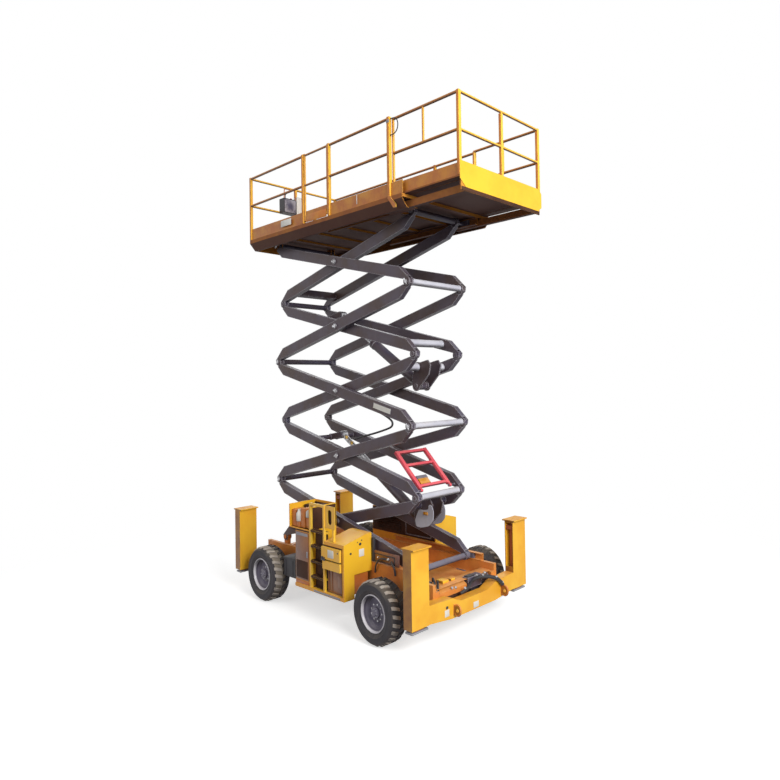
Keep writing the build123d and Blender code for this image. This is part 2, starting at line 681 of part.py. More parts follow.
def tyre(end, side):
    """A tyre: a turned carcass with two staggered rows of lugs."""
    half = TYRE_W / 2
    r = TYRE_R - LUG_H
    profile = [
        (BEAD_R, -half + 30), (BEAD_R + 30, -half + 8), (r - 70, -half), (r - 14, -half + 12),
        (r, -half + 34), (r, half - 34), (r - 14, half - 12), (r - 70, half),
        (BEAD_R + 30, half - 8), (BEAD_R, half - 30),
    ]
    face = make_face(Polyline(*[(pr, 0, py) for pr, py in profile], close=True))
    carcass = revolve(face, Axis.Z)
    step = 360 / LUG_COUNT
    lugs = []
    for i in range(LUG_COUNT):
        lugs.append(Rot(0, 0, i * step) * lug(half))
        lugs.append(Rot(0, 0, (i + 0.5) * step) * mirror(lug(half), about=Plane.XY))
    wheel = Rot(90, 0, 0) * (carcass + lugs)
    return Pos(end * WHEELBASE / 2, side * (TYRE_OUT - half), TYRE_R) * wheel


def lug(half):
    """One lug, from near the middle of the tread over its shoulder."""
    r = TYRE_R - LUG_H
    outline = [
        (r - 55, half - 8), (r - 8, half - 40), (r - 8, 14),
        (TYRE_R, 14), (TYRE_R, half - 26), (TYRE_R - 16, half - 3), (r - 55, half - 1),
    ]
    face = make_face(Polyline(*[(px, 0, pz) for px, pz in outline], close=True))
    return extrude(Pos(0, -LUG_LEN / 2, 0) * face, amount=LUG_LEN, dir=(0, 1, 0))


def rim(end, side):
    """A dished steel rim with its hub and a ring of wheel nuts."""
    half = TYRE_W / 2
    r = BEAD_R
    inner = r - RIM_T
    bore = SPINDLE_R + FIT
    profile = [
        (bore, 26), (HUB_R, 26), (HUB_R + 50, 14), (r - 70, 14), (inner - 18, half - 34),
        (inner, half - 14), (r, half - 14), (r, -half + 30), (inner, -half + 30),
        (inner, half - 70), (inner - 40, 0), (HUB_R + 50, -4), (bore, -4),
    ]
    face = make_face(Polyline(*[(pr, 0, pz) for pr, pz in profile], close=True))
    dish = revolve(face, Axis.Z)
    hub = Pos(0, 0, 40) * Cylinder(HUB_R - 14, 36) - Pos(0, 0, 40) * Cylinder(bore, 40)
    nuts = [Rot(0, 0, i * 45) * Pos(HUB_R + 24, 0, 22) * Cylinder(12, 24) for i in range(8)]
    wheel = Rot(90 if side < 0 else -90, 0, 0) * (dish + hub + nuts)
    return Pos(end * WHEELBASE / 2, side * (TYRE_OUT - half), TYRE_R) * wheel


# ---------------------------------------------------------------- side equipment
def near_pod():
    """The hooded housing with its end wing, on the side of the ground controls."""
    y0, y1 = -POD_Y, -POD_IN
    hood = end_plate([
        (y0, HOOD_Z0), (y1, HOOD_Z0), (y1, HOOD_TOP), (y1 - HOOD_FLAT, HOOD_TOP), (y0, HOOD_SHOULDER),
    ], HOOD_X0, HOOD_X1)
    wing = end_plate([
        (y0, POD_Z0), (-ARCH_Y, POD_Z0), (-ARCH_Y, ARCH_Z), (y1, ARCH_Z), (y1, HOOD_Z0 + 1),
        (y0, HOOD_Z0 + 1),
    ], HOOD_X1 - WING_T, HOOD_X1)
    tray = block(CABINET_X0, HOOD_X1, y0, y1, POD_Z0 - TRAY_T, POD_Z0)
    arch = block(HOOD_X1 - 260, HOOD_X1 + 1, -ARCH_Y, 0, POD_Z0 - TRAY_T - 1, POD_Z0 + 1)
    return fuse([hood, wing, tray]) - arch


def side_cabinet():
    """The tall cabinet behind the ladder, with a bin on top that is open above and in front."""
    y0, y1 = -POD_Y + 12, -POD_IN
    body = block(CABINET_X0, CABINET_X1, y0, y1, POD_Z0, CABINET_Z1)
    t = 14
    bin_box = block(BIN_X0, CABINET_X1, y0, y1, CABINET_Z1 - 1, BIN_Z1)
    bin_box -= block(BIN_X0 + t, CABINET_X1 - t, y0 - 1, y1 - t, CABINET_Z1 + t, BIN_Z1 + 1)
    return body + bin_box


def side_tank():
    """The tank that fills the space below the hood."""
    return block(HOOD_X0 + 5, HOOD_X1 - WING_T, -POD_Y + 45, -POD_IN - 40, POD_Z0, HOOD_Z0)


def access_ladder():
    """The ladder in its recess, with the arched guard and the plate with an oval hole."""
    y0 = -POD_Y
    y1 = y0 + GUARD_W
    pieces = [
        block(GUARD_X0, GUARD_X0 + GUARD_W, y0, y1, POD_Z0, GUARD_Z1),
        block(GUARD_X1 - GUARD_W, GUARD_X1, y0, y1, HOOD_Z0, GUARD_Z1),
        block(GUARD_X0, GUARD_X1, y0, y1, GUARD_Z1 - GUARD_W, GUARD_Z1),
        block(GUARD_X1 - GUARD_W, GUARD_X1, y0, y1, POD_Z0, HOOD_Z0 + 1),
    ]
    plate = block(GUARD_X1 - 1, OVAL_X1, y0 + 12, y0 + 20, OVAL_Z0, GUARD_Z1)
    mid_x = (GUARD_X1 + OVAL_X1) / 2
    mid_z = (OVAL_Z0 + GUARD_Z1) / 2
    slot = block(mid_x - 45, mid_x + 45, y0, y1, mid_z - 60, mid_z + 60)
    slot += bar_y(mid_x, mid_z + 60, y0, y1, 45) + bar_y(mid_x, mid_z - 60, y0, y1, 45)
    hood_slope = (HOOD_TOP - HOOD_SHOULDER) / (POD_Y - POD_IN - HOOD_FLAT)
    foot_z = HOOD_SHOULDER + 42 * hood_slope + SEAT
    brace = block(OVAL_X1 - 60, OVAL_X1 - 30, y0 + 12, y0 + 42, foot_z, OVAL_Z0 + 5)
    for i in range(STEPS):
        z = STEP_Z0 + i * STEP_RISE
        pieces.append(block(GUARD_X0, GUARD_X1, y0, y0 + STEP_DEEP, z, z + STEP_T))
    return fuse(pieces + [plate - slot, brace])


def ground_control_box():
    """The ground controls on the front of the hood: a tall box over a low one, on one plate."""
    x0, x1, y1 = HOOD_X0 - 50, HOOD_X1 - 60, -POD_Y
    z0, z1 = HOOD_Z0 + 5, HOOD_Z0 + 315
    plate = block(x0 + 40, x1 - 20, y1 - 8, y1, z0 + 10, z1 - 10)
    upper = block(x0, x1, y1 - BOX_DEEP, y1, z0 + BOX_SPLIT + BOX_GAP, z1)
    lower = block(x0 + 25, x1, y1 - BOX_DEEP, y1, z0, z0 + BOX_SPLIT)
    return fuse([plate, upper, lower])


def far_pod():
    """The engine housing on the other side, hollow round the engine."""
    y0, y1 = POD_IN, POD_Y
    outline = [(y0, POD_Z0), (y1, POD_Z0), (y1, HOOD_SHOULDER), (y1 - 300, HOOD_TOP), (y0, HOOD_TOP)]
    inside = [
        (y0 + 8, POD_Z0 + 8), (y1 - 8, POD_Z0 + 8), (y1 - 8, HOOD_SHOULDER - 8),
        (y1 - 302, HOOD_TOP - 8), (y0 + 8, HOOD_TOP - 8),
    ]
    return end_plate(outline, FAR_X0, FAR_X1) - end_plate(inside, FAR_X0 + 8, FAR_X1 - 8)


def engine():
    """The engine, closed in, as one block on the floor of its housing."""
    return block(FAR_X0 + 450, FAR_X0 + 1050, POD_IN + 40, POD_Y - 60, POD_Z0 + 8, POD_Z0 + 560)


def hydraulic_unit():
    """Valve block and motor on the last cross member."""
    x0 = CROSS_X[-1] + 60
    return fuse([
        block(x0, x0 + 110, 60, 330, RAIL_Z0 - 40, RAIL_Z0 + 110),
        bar_y(x0 + 60, RAIL_Z0 + 30, 329, 480, 55),
    ])


# ---------------------------------------------------------------- platform
def platform_deck():
    """The deck: floor, folded side members, cross beams, upper channels and fixed forks."""
    z = FLOOR_Z - FLOOR_T
    x0, x1 = track_ends()
    half = BLOCK_H / 2 + TRACK_GAP + CHANNEL_T
    floor = block(DECK_X0, DECK_X1, -DECK_Y, DECK_Y, z, FLOOR_Z)
    t = 8
    side = end_plate([
        (DECK_Y, z + 1), (DECK_Y, z - 50), (DECK_Y - 90, SIDE_Z0), (DECK_Y - 120, SIDE_Z0),
        (DECK_Y - 120, SIDE_Z0 + t), (DECK_Y - 94, SIDE_Z0 + t), (DECK_Y - t, z - 47), (DECK_Y - t, z + 1),
    ], DECK_X0, DECK_X1)
    pieces = [floor, both(fuse([side, channel(x0, x1, TOP_Z), top_fork()]))]
    count = 7
    step = (DECK_X1 - DECK_X0 - 80) / (count - 1)
    for i in range(count):
        x = DECK_X0 + 40 + i * step
        pieces.append(block(x - 40, x + 40, -DECK_Y + t + 4, DECK_Y - t - 4, TOP_Z + half - 1, z + 1))
    ends = block(DECK_X0, DECK_X0 + t, -DECK_Y + 100, DECK_Y - 100, SIDE_Z0, z + 1)
    pieces.append(ends)
    return fuse(pieces)


def top_fork():
    """The fork under the deck that holds an outer arm's upper tongue."""
    cheek_y = ARM_W / 2 - CHEEK_T / 2
    cheeks = []
    for y in (OUTER_Y - cheek_y, OUTER_Y + cheek_y):
        y0, y1 = y - CHEEK_T / 2, y + CHEEK_T / 2
        cheek = bar_y(PIVOT_XL, TOP_Z, y0, y1, KNUCKLE_R)
        cheek += block(PIVOT_XL - KNUCKLE_R, PIVOT_XL + KNUCKLE_R, y0, y1, TOP_Z, FLOOR_Z - FLOOR_T + 1)
        cheeks.append(cheek - bar_y(PIVOT_XL, TOP_Z, y0 - 1, y1 + 1, PIN_R + FIT))
    return fuse(cheeks)


def post(x, y, z0, z1):
    """A square rail post."""
    half = POST_W / 2
    return block(x - half, x + half, y - half, y + half, z0, z1)


def rail_run(x0, x1, y, z):
    """One straight rail tube along X."""
    return bar_x(y, z, x0, x1, TUBE_R)


def platform_rails():
    """The fixed rails: posts, top and middle rails and toe boards, open at the gate and at +X."""
    top = FLOOR_Z + TOP_RAIL - TUBE_R
    mid = FLOOR_Z + MID_RAIL
    y = RAIL_LINE_Y
    x0 = DECK_X0 + POST_W / 2
    pieces = []
    near_posts = [x0, GATE_X0, GATE_X1, THIRD_X]
    far_posts = [x0, GATE_X0, GATE_X1 + 500, THIRD_X]
    for x in near_posts:
        pieces.append(post(x, -y, FLOOR_Z, top + TUBE_R))
    for x in far_posts:
        pieces.append(post(x, y, FLOOR_Z, top + TUBE_R))
    pieces.append(post(x0, 0, FLOOR_Z, top))
    pieces.append(latch_lever())
    pieces += gate_ears()
    runs = [(-y, x0, GATE_X0), (-y, GATE_X1, THIRD_X), (y, x0, THIRD_X)]
    for line, a, b in runs:
        for z in (top, mid):
            pieces.append(rail_run(a, b, line, z))
        pieces.append(block(a, b, line - TOE_T / 2, line + TOE_T / 2, FLOOR_Z, FLOOR_Z + TOE_H))
    for line in (-y, y):
        pieces.append(block(THIRD_X, DECK_X1, line - TOE_T / 2, line + TOE_T / 2, FLOOR_Z, FLOOR_Z + TOE_H))
    for z in (top, mid):
        pieces.append(bar_y(x0, z, -y, y, TUBE_R))
    pieces.append(block(x0 - TOE_T / 2, x0 + TOE_T / 2, -y, y, FLOOR_Z, FLOOR_Z + TOE_H))
    return fuse(pieces)


def latch_lever():
    """The flat lever that locks the roll-out deck, outside the foot of the third post."""
    x, y = THIRD_X, -DECK_Y
    outline = [
        (x - 20, FLOOR_Z + 160), (x - 20, FLOOR_Z - 20), (x + 100, FLOOR_Z - 170), (x + 150, FLOOR_Z - 170),
        (x + 150, FLOOR_Z - 130), (x + 20, FLOOR_Z + 10), (x + 20, FLOOR_Z + 160),
    ]
    return side_plate(outline, y - 8, y - SEAT / 2) + block(x - 15, x + 15, y - 1, y + 30, FLOOR_Z + 60, FLOOR_Z + 130)


def gate():
    """The swinging gate between the two near posts, with its own toe board."""
    r = TUBE_R - GATE_THIN
    low = FLOOR_Z + GATE_LOW
    top = FLOOR_Z + TOP_RAIL - TUBE_R
    mid = FLOOR_Z + MID_RAIL
    x0 = GATE_HINGE_X
    x1 = GATE_X1 - POST_W / 2 - GATE_GAP - r
    y = GATE_HINGE_Y
    pieces = [bar_z(x0, y, low, top + r, r), bar_z(x1, y, low, top + r, r)]
    pieces += [bar_x(y, z, x0, x1, r) for z in (top, mid)]
    pieces.append(block(x0, x1, y - TOE_T / 2, y + TOE_T / 2, low, FLOOR_Z + TOE_H))
    return fuse(pieces)


def gate_ears():
    """The two ears of the gate's hinge, above and below its stile."""
    low = FLOOR_Z + GATE_LOW - SEAT
    high = FLOOR_Z + TOP_RAIL - GATE_THIN + SEAT
    x0, x1 = GATE_X0 + POST_W / 2 - 1, GATE_HINGE_X + 14
    y0, y1 = GATE_HINGE_Y - 14, GATE_HINGE_Y + 14
    return [block(x0, x1, y0, y1, low - 6, low), block(x0 - POST_W / 2, x1, y0, y1, high, high + 6)]


def platform_control_box():
    """The control box that hangs on the rails at the -X end."""
    x0 = DECK_X0 + POST_W / 2 + TUBE_R
    z = FLOOR_Z + MID_RAIL
    return block(x0, x0 + 150, -330, -90, z - 30, z + 230)


def extension_deck():
    """The roll-out deck: a thin floor over the main one, with runner beams below it."""
    z = FLOOR_Z + EXT_FLOOR_GAP
    x0 = EXT_X1 - EXT_LEN
    floor = block(x0, EXT_X1 + WEB_T, -EXT_Y, EXT_Y, z, z + EXT_T)
    skid = block(x0, EXT_X1, RUNNER_Y0, RUNNER_Y1, FLOOR_Z + SEAT, z + 1)
    runner = block(EXT_X1 - RUNNER_L, EXT_X1 + WEB_T, RUNNER_Y0, RUNNER_Y1, RUNNER_Z0, RUNNER_Z1)
    web = block(EXT_X1, EXT_X1 + WEB_T, -EXT_Y + 20, EXT_Y - 20, RUNNER_Z0, z + 1)
    return fuse([floor, both(skid), both(runner), web])


def extension_rails():
    """The extension's rails, which slide inside the fixed ones, with side toe boards."""
    base = FLOOR_Z + EXT_FLOOR_GAP + EXT_T
    top = FLOOR_Z + TOP_RAIL - TUBE_R
    mid = FLOOR_Z + MID_RAIL
    y = EXT_LINE_Y
    x0, x1 = EXT_RAIL_X0, EXT_X1
    side = []
    for z in (top, mid):
        side.append(bar_x(y, z, x0, x1, TUBE_R))
    side.append(bar_z(x0, y, base, top, TUBE_R - 1))
    side.append(bar_z(x1, y, base, top, TUBE_R - 1))
    side.append(bar_z(STRUT_X, y, mid, top, TUBE_R - 3))
    side.append(block(x0, x1, y - TOE_T / 2, y + TOE_T / 2, base, FLOOR_Z + TOE_H))
    pieces = [both(fuse(side))]
    for z in (top, mid):
        pieces.append(bar_y(x1, z, -y, y, TUBE_R))
    pieces.append(bar_z(x1, 0, base, top, TUBE_R - 1))
    return fuse(pieces)


def extension_end():
    """The deep toe plate across the extension's end, cut at one corner and rounded at the other."""
    x0 = EXT_X1 + WEB_T + SEAT
    z0, z1 = FLOOR_Z - 110, FLOOR_Z + TOE_H + 20
    y = EXT_Y
    plate = end_plate([
        (-y, z1), (-y, z0 + 90), (-y + 100, z0), (y - 60, z0), (y + 20, z0 + 60), (y + 20, z1 - 60), (y - 40, z1),
    ], x0, x0 + END_T)
    return plate


# ---------------------------------------------------------------- export
def save(name, shape):
    """Write one piece, moved so that the origin lies under the middle of the machine."""
    export_step(Pos(SHIFT_X, 0, 0) * shape, f"parts/{name}.step")


def corners():
    """Names and signs of the four corners: end along X, side along Y."""
    return [("front_near", 1, -1), ("front_far", 1, 1), ("rear_near", -1, -1), ("rear_far", -1, 1)]


def main():
    """Build every piece and write it."""
    os.makedirs("parts", exist_ok=True)
    singles = [
        chassis_frame, end_frames, front_axle, rear_axle, near_pod, side_cabinet, side_tank,
        access_ladder, ground_control_box, far_pod, engine, hydraulic_unit, base_slider,
        top_slider, lift_prop, platform_deck, platform_rails, gate, platform_control_box,
        extension_deck, extension_rails, extension_end,
    ]
    for build in singles:
        save(build.__name__, build())
    for level in range(1, STACKS + 1):
        save(f"inner_frame_{level}", inner_frame(level))
        save(f"outer_frame_{level}", outer_frame(level))
    for name, level in (("lower", 1), ("upper", 3)):
        save(f"lift_barrel_{name}", lift_barrel(level))
        save(f"lift_rod_{name}", lift_rod(level))
    for name, end, side in corners():
        save(f"jack_{name}", jack(end, side))
        save(f"tyre_{name}", tyre(end, side))
        save(f"rim_{name}", rim(end, side))
    save("knuckle_near", knuckle(-1))
    save("knuckle_far", knuckle(1))


if __name__ == "__main__":
    main()
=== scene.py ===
# %% [markdown]
# # A five-stack scissor lift, standing part way raised
# The machine comes from a CAD model, packed as a fixed frame of named nodes that ride on named
# bodies.  This script dresses that frame: it gives each node a worn finish, swaps the plain
# tyres and rims for detailed ones, and adds the fittings that a CAD model leaves out.
# Everything is in metres, and nothing that the CAD model placed is moved.

# %% Load the frame
from math import asin, cos, degrees, pi, radians, sin, sqrt

import bmesh
import bpy
from mathutils import Matrix, Vector


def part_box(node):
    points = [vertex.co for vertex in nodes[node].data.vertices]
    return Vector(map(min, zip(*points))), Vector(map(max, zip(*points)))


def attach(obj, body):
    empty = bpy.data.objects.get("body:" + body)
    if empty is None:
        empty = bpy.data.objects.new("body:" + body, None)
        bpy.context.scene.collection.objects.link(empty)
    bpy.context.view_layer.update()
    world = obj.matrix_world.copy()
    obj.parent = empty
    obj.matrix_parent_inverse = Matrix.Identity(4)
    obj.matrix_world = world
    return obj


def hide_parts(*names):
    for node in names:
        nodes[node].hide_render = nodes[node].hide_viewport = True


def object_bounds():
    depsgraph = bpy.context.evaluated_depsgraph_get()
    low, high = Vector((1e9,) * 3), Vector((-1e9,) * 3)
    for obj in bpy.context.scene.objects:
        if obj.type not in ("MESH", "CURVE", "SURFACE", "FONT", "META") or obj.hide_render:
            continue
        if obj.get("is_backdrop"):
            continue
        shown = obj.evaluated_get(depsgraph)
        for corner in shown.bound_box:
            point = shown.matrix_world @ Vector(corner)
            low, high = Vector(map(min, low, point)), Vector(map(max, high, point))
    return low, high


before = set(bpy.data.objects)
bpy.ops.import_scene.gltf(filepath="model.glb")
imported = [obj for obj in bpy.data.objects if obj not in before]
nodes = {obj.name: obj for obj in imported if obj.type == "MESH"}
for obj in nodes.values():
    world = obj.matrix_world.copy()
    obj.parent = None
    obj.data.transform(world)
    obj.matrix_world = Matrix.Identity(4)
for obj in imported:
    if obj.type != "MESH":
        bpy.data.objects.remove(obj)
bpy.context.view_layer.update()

# %% [markdown]
# ## Where things are
# The middle of the chassis is the point that the machine's own drawing measures from, so a
# few named lengths from that drawing, added to it, give every place that a fitting needs.
# Taking that point from the frame's box keeps the two models together if the frame is repacked.

# %% Named lengths of the machine
def box_middle(node):
    """The middle of a node's box at rest."""
    low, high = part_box(node)
    return (low + high) / 2


ORIGIN_X = box_middle("chassis_frame").x      # middle of the chassis
WHEELBASE = 2.82
TYRE_R = 0.427
TYRE_W = 0.29
TYRE_OUT = 1.125
ARM_LENGTH = 3.48
ARM_H = 0.165
EDGE_OFF = 0.02
RISE = 1.0
PIVOT_Z = 0.84
PIVOT_L = -1.79                               # fixed pivots, from the middle of the chassis
STACK_STEP = ARM_H + 2 * EDGE_OFF             # what one stack adds when lowered
LOW_SLOPE = asin(STACK_STEP / ARM_LENGTH)
REST_SLOPE = asin(RISE / ARM_LENGTH)
TILT = REST_SLOPE - LOW_SLOPE
ARM_RUN = sqrt(ARM_LENGTH**2 - STACK_STEP**2)
PIVOT_R = PIVOT_L + ARM_LENGTH * cos(REST_SLOPE)


def at(x, y, z):
    """A point of the machine, given from the middle of the chassis."""
    return Vector((ORIGIN_X + x, y, z))


print("chassis middle", round(ORIGIN_X, 4), "tilt", round(degrees(TILT), 2))

# %% [markdown]
# ## The camera
# The view is a low three-quarter one from the ground-control side, near the end where the deck
# rolls out.  The machine stands left of the middle of the lens axis, so the film is shifted
# sideways instead of the camera being turned, which would make the columns lean.

# %% Camera
def add_object(name, data):
    """A new object in the scene, with its data."""
    thing = bpy.data.objects.new(name, data)
    bpy.context.scene.collection.objects.link(thing)
    return thing


CAMERA_AT = at(8.013, -6.175, 3.436)
YAW, PITCH, ROLL = radians(39.263), radians(1.121), radians(-1.057)
camera_data = bpy.data.cameras.new("camera")
camera_data.sensor_width = 36.0
camera_data.lens = 28.41
camera_data.shift_x = -0.1585
camera_data.shift_y = -0.0268
camera_data.clip_end = 200.0
camera = add_object("camera", camera_data)
forward = Vector((-sin(YAW) * cos(PITCH), cos(YAW) * cos(PITCH), sin(PITCH)))
level_right = Vector((cos(YAW), sin(YAW), 0.0))
level_up = level_right.cross(forward)
right = level_right * cos(ROLL) + level_up * sin(ROLL)
up = level_up * cos(ROLL) - level_right * sin(ROLL)
turn = Matrix((right, up, -forward)).transposed()
camera.matrix_world = Matrix.Translation(CAMERA_AT) @ turn.to_4x4()
bpy.context.scene.camera = camera
print("camera", [round(v, 3) for v in CAMERA_AT])

# %% [markdown]
# ## Shared shader effects
# A machine like this is painted, then used outdoors.  Its paint chips along the edges, dust
# settles on what faces up, and each panel differs a little in tone.  Those effects are the same
# on every finish, so they are node groups with named sockets, placed in each material with its
# own values.  The groups read Object coordinates, so a pattern stays on its piece as it moves.

# %% Helpers for node groups
def tone(red, green, blue):
    """A colour written in the usual 0-255 numbers, as the linear colour that shaders use."""
    linear = []
    for value in (red, green, blue):
        share = value / 255
        linear.append(share / 12.92 if share <= 0.04045 else ((share + 0.055) / 1.055) ** 2.4)
    return (*linear, 1.0)


def new_group(name, inputs, outputs):
    """An empty shader node group with named sockets, its inputs and its output node."""
    group = bpy.data.node_groups.new(name, "ShaderNodeTree")
    for label, value in inputs.items():
        kind = "NodeSocketColor" if isinstance(value, tuple) else "NodeSocketFloat"
        group.interface.new_socket(name=label, in_out="INPUT", socket_type=kind).default_value = value
    for label, kind in outputs.items():
        group.interface.new_socket(name=label, in_out="OUTPUT", socket_type="NodeSocket" + kind)
    return group, group.nodes.new("NodeGroupInput").outputs, group.nodes.new("NodeGroupOutput")


def fill(tree, node, values):
    """Sets a node's inputs, found by name or number: a socket is linked, a value is written."""
    for label, value in values.items():
        if isinstance(value, bpy.types.NodeSocket):
            tree.links.new(value, node.inputs[label])
        else:
            node.inputs[label].default_value = value


def new_node(tree, kind, values=()):
    """A shader node with some of its inputs filled."""
    node = tree.nodes.new("ShaderNode" + kind)
    fill(tree, node, dict(values))
    return node


def math_node(tree, operation, first, second=0.0, clamp=False):
    """A Math node with each input a socket or a number; returns its output."""
    node = new_node(tree, "Math", {0: first, 1: second})
    node.operation = operation
    node.use_clamp = clamp
    return node.outputs[0]


def times(tree, *values, clamp=False):
    """The product of sockets and numbers, taken from left to right."""
    *first, last = values
    return math_node(tree, "MULTIPLY", first[0] if len(first) == 1 else times(tree, *first), last, clamp)


def plus(tree, *values, clamp=False):
    """The sum of sockets and numbers, taken from left to right."""
    *first, last = values
    return math_node(tree, "ADD", first[0] if len(first) == 1 else plus(tree, *first), last, clamp)


def noise_node(tree, spot, scale, detail=3.0, roughness=0.5):
    """A Noise texture read at a spot; scale is a socket or a number. Returns its Fac."""
    values = {"Vector": spot, "Scale": scale, "Detail": detail, "Roughness": roughness}
    return new_node(tree, "TexNoise", values).outputs["Fac"]


def ramp(tree, value, start, end):
    """A value eased from nought at start to one at end."""
    node = new_node(tree, "MapRange", {"Value": value, "From Min": start, "From Max": end})
    node.interpolation_type = "SMOOTHSTEP"
    return node.outputs["Result"]


def mix_colour(tree, factor, first, second):
    """Two colours mixed by a factor; each is a socket or a colour."""
    node = new_node(tree, "Mix")
    node.data_type = "RGBA"
    fill(tree, node, {"Factor": factor, "A": first, "B": second})
    return node.outputs["Result"]


def object_spot(tree):
    """The place on its own object that a shader is asked about."""
    return new_node(tree, "TexCoord").outputs["Object"]


print("group helpers ready")

# %% [markdown]
# ### Edge wear
# Real edges are never knife sharp, and they are where paint goes first.  Cycles' Bevel node
# gives the normal that a rounded edge would have.  Where it differs from the true normal there
# is an edge, so the difference is both the rounding and the mask for chipped paint.  Cover
# spreads the chips until they join in a worn line along the edge.

# %% Edge wear group
EDGE_FROM, EDGE_TO = 0.02, 0.22               # how far the normals part at an edge
CHIP_FROM, CHIP_TO = 0.42, 0.56               # which part of the noise is chipped


def build_edge_wear():
    """A mask of chipped edges, and the normal of edges that are rounded."""
    group, given, sink = new_group(
        "edge_wear", {"Radius": 0.004, "Amount": 0.5, "Scale": 40.0, "Cover": 0.0},
        {"Mask": "Float", "Normal": "Vector"})
    rounded = new_node(group, "Bevel", {"Radius": given["Radius"]})
    rounded.samples = 4
    true_normal = new_node(group, "NewGeometry")
    compare = new_node(group, "VectorMath", {0: rounded.outputs["Normal"], 1: true_normal.outputs["Normal"]})
    compare.operation = "DOT_PRODUCT"
    parted = math_node(group, "SUBTRACT", 1.0, compare.outputs["Value"])
    edge = ramp(group, parted, EDGE_FROM, EDGE_TO)
    patches = noise_node(group, object_spot(group), given["Scale"], 5.0, 0.65)
    chips = ramp(group, plus(group, patches, given["Cover"]), CHIP_FROM, CHIP_TO)
    worn = times(group, edge, chips, given["Amount"], clamp=True)
    fill(group, sink, {"Mask": worn, "Normal": rounded.outputs["Normal"]})
    return group


EDGE_WEAR = build_edge_wear()
print("group", EDGE_WEAR.name)

# %% [markdown]
# ### Dust, streaks, painted shade and tone
# Dust gathers on upward faces in soft drifts.  Rain draws it down upright faces in streaks,
# which are noise squeezed to be long in Z.  The long sides, which face along Y, are painted
# darker and browner in soft patches, a painted shade.  What faces down is painted dark, a
# painted shade for the undersides.  A slow noise shifts the tone of the paint, as sun and age
# do, and a fine one gives sprayed enamel its faint orange peel.

# %% Weather group
STREAK_SHARE = 0.6                            # how strongly a streak covers the paint
FILM_LEAST = 0.72                             # how much of the painted side shade stays where it is thinnest
DUST_ROUGH, AGE_ROUGH = 0.35, 0.07            # what dust and age add to the roughness
PEEL_SCALE = 260.0                            # orange peel per metre


def build_weather():
    """The colour, roughness and height of paint that has stood outdoors."""
    group, given, sink = new_group("weather", {
        "Colour": (0.5, 0.5, 0.5, 1.0), "Shade": (0.3, 0.3, 0.3, 1.0), "Dust": (0.4, 0.36, 0.3, 1.0),
        "Dust Amount": 0.4, "Streaks": 0.3, "Roughness": 0.4, "Side Shade": (0.2, 0.1, 0.05, 1.0),
        "Side Shade Amount": 0.0, "Underside Shade": (0.04, 0.03, 0.03, 1.0), "Underside Shade Amount": 0.8,
    }, {"Colour": "Color", "Roughness": "Float", "Height": "Float"})
    coordinates = new_node(group, "TexCoord")
    spot = coordinates.outputs["Object"]
    facing = new_node(group, "SeparateXYZ", {0: coordinates.outputs["Normal"]}).outputs
    slow = ramp(group, noise_node(group, spot, 1.7, 4.0, 0.6), 0.35, 0.68)
    painted = mix_colour(group, slow, given["Colour"], given["Shade"])

    squeeze = new_node(group, "Mapping", {"Vector": spot, "Scale": (9.0, 9.0, 0.8)})
    runs = ramp(group, noise_node(group, squeeze.outputs["Vector"], 2.2, 4.0, 0.6), 0.52, 0.78)
    streaks = times(group, runs, given["Streaks"])
    upward = ramp(group, facing["Z"], 0.2, 0.95)
    drifts = ramp(group, noise_node(group, spot, 5.0, 5.0, 0.65), 0.3, 0.7)
    settled = times(group, upward, drifts, given["Dust Amount"])
    cover = plus(group, settled, times(group, streaks, STREAK_SHARE), clamp=True)
    dusted = mix_colour(group, cover, painted, given["Dust"])

    # Painted shade: the sides that face along Y are darkened in soft patches, and the faces turned down get a
    # second, darker painted shade.
    sideways = ramp(group, math_node(group, "ABSOLUTE", facing["Y"]), 0.45, 0.95)
    film = plus(group, times(group, drifts, 1.0 - FILM_LEAST), FILM_LEAST)
    side_shaded = mix_colour(group, times(group, sideways, film, given["Side Shade Amount"]), dusted, given["Side Shade"])
    downward = ramp(group, times(group, facing["Z"], -1.0), 0.05, 0.75)
    underside_shaded = mix_colour(group, times(group, downward, given["Underside Shade Amount"]), side_shaded, given["Underside Shade"])

    rough = plus(group, given["Roughness"], times(group, cover, DUST_ROUGH), times(group, slow, AGE_ROUGH),
                 clamp=True)
    peel = plus(group, noise_node(group, spot, PEEL_SCALE, 2.0, 0.5), times(group, cover, 0.8))
    fill(group, sink, {"Colour": underside_shaded, "Roughness": rough, "Height": peel})
    return group


WEATHER = build_weather()
print("group", WEATHER.name)

# %% [markdown]
# ## Finishes
# Each finish is one material.  The shader itself stays in the material, and only colours,
# masks and normals come from the groups.  Chipped edges of painted parts show primer or steel.

# %% Painted finishes
def new_material(name, slot_name):
    """An empty material that remembers which of the record's finishes it belongs to."""
    material = bpy.data.materials.new(name)
    material.use_nodes = True
    material["slot"] = slot_name
    tree = material.node_tree
    return material, tree, tree.nodes["Principled BSDF"]


def group_node(tree, group, values):
    """A node that uses a group, with its inputs set by name."""
    node = new_node(tree, "Group")
    node.node_tree = group
    fill(tree, node, values)
    return node


def bump_node(tree, height, normal, strength, distance):
    """A Bump node that roughens a normal by a height; returns its output."""
    values = {"Height": height, "Normal": normal, "Strength": strength, "Distance": distance}
    return new_node(tree, "Bump", values).outputs["Normal"]


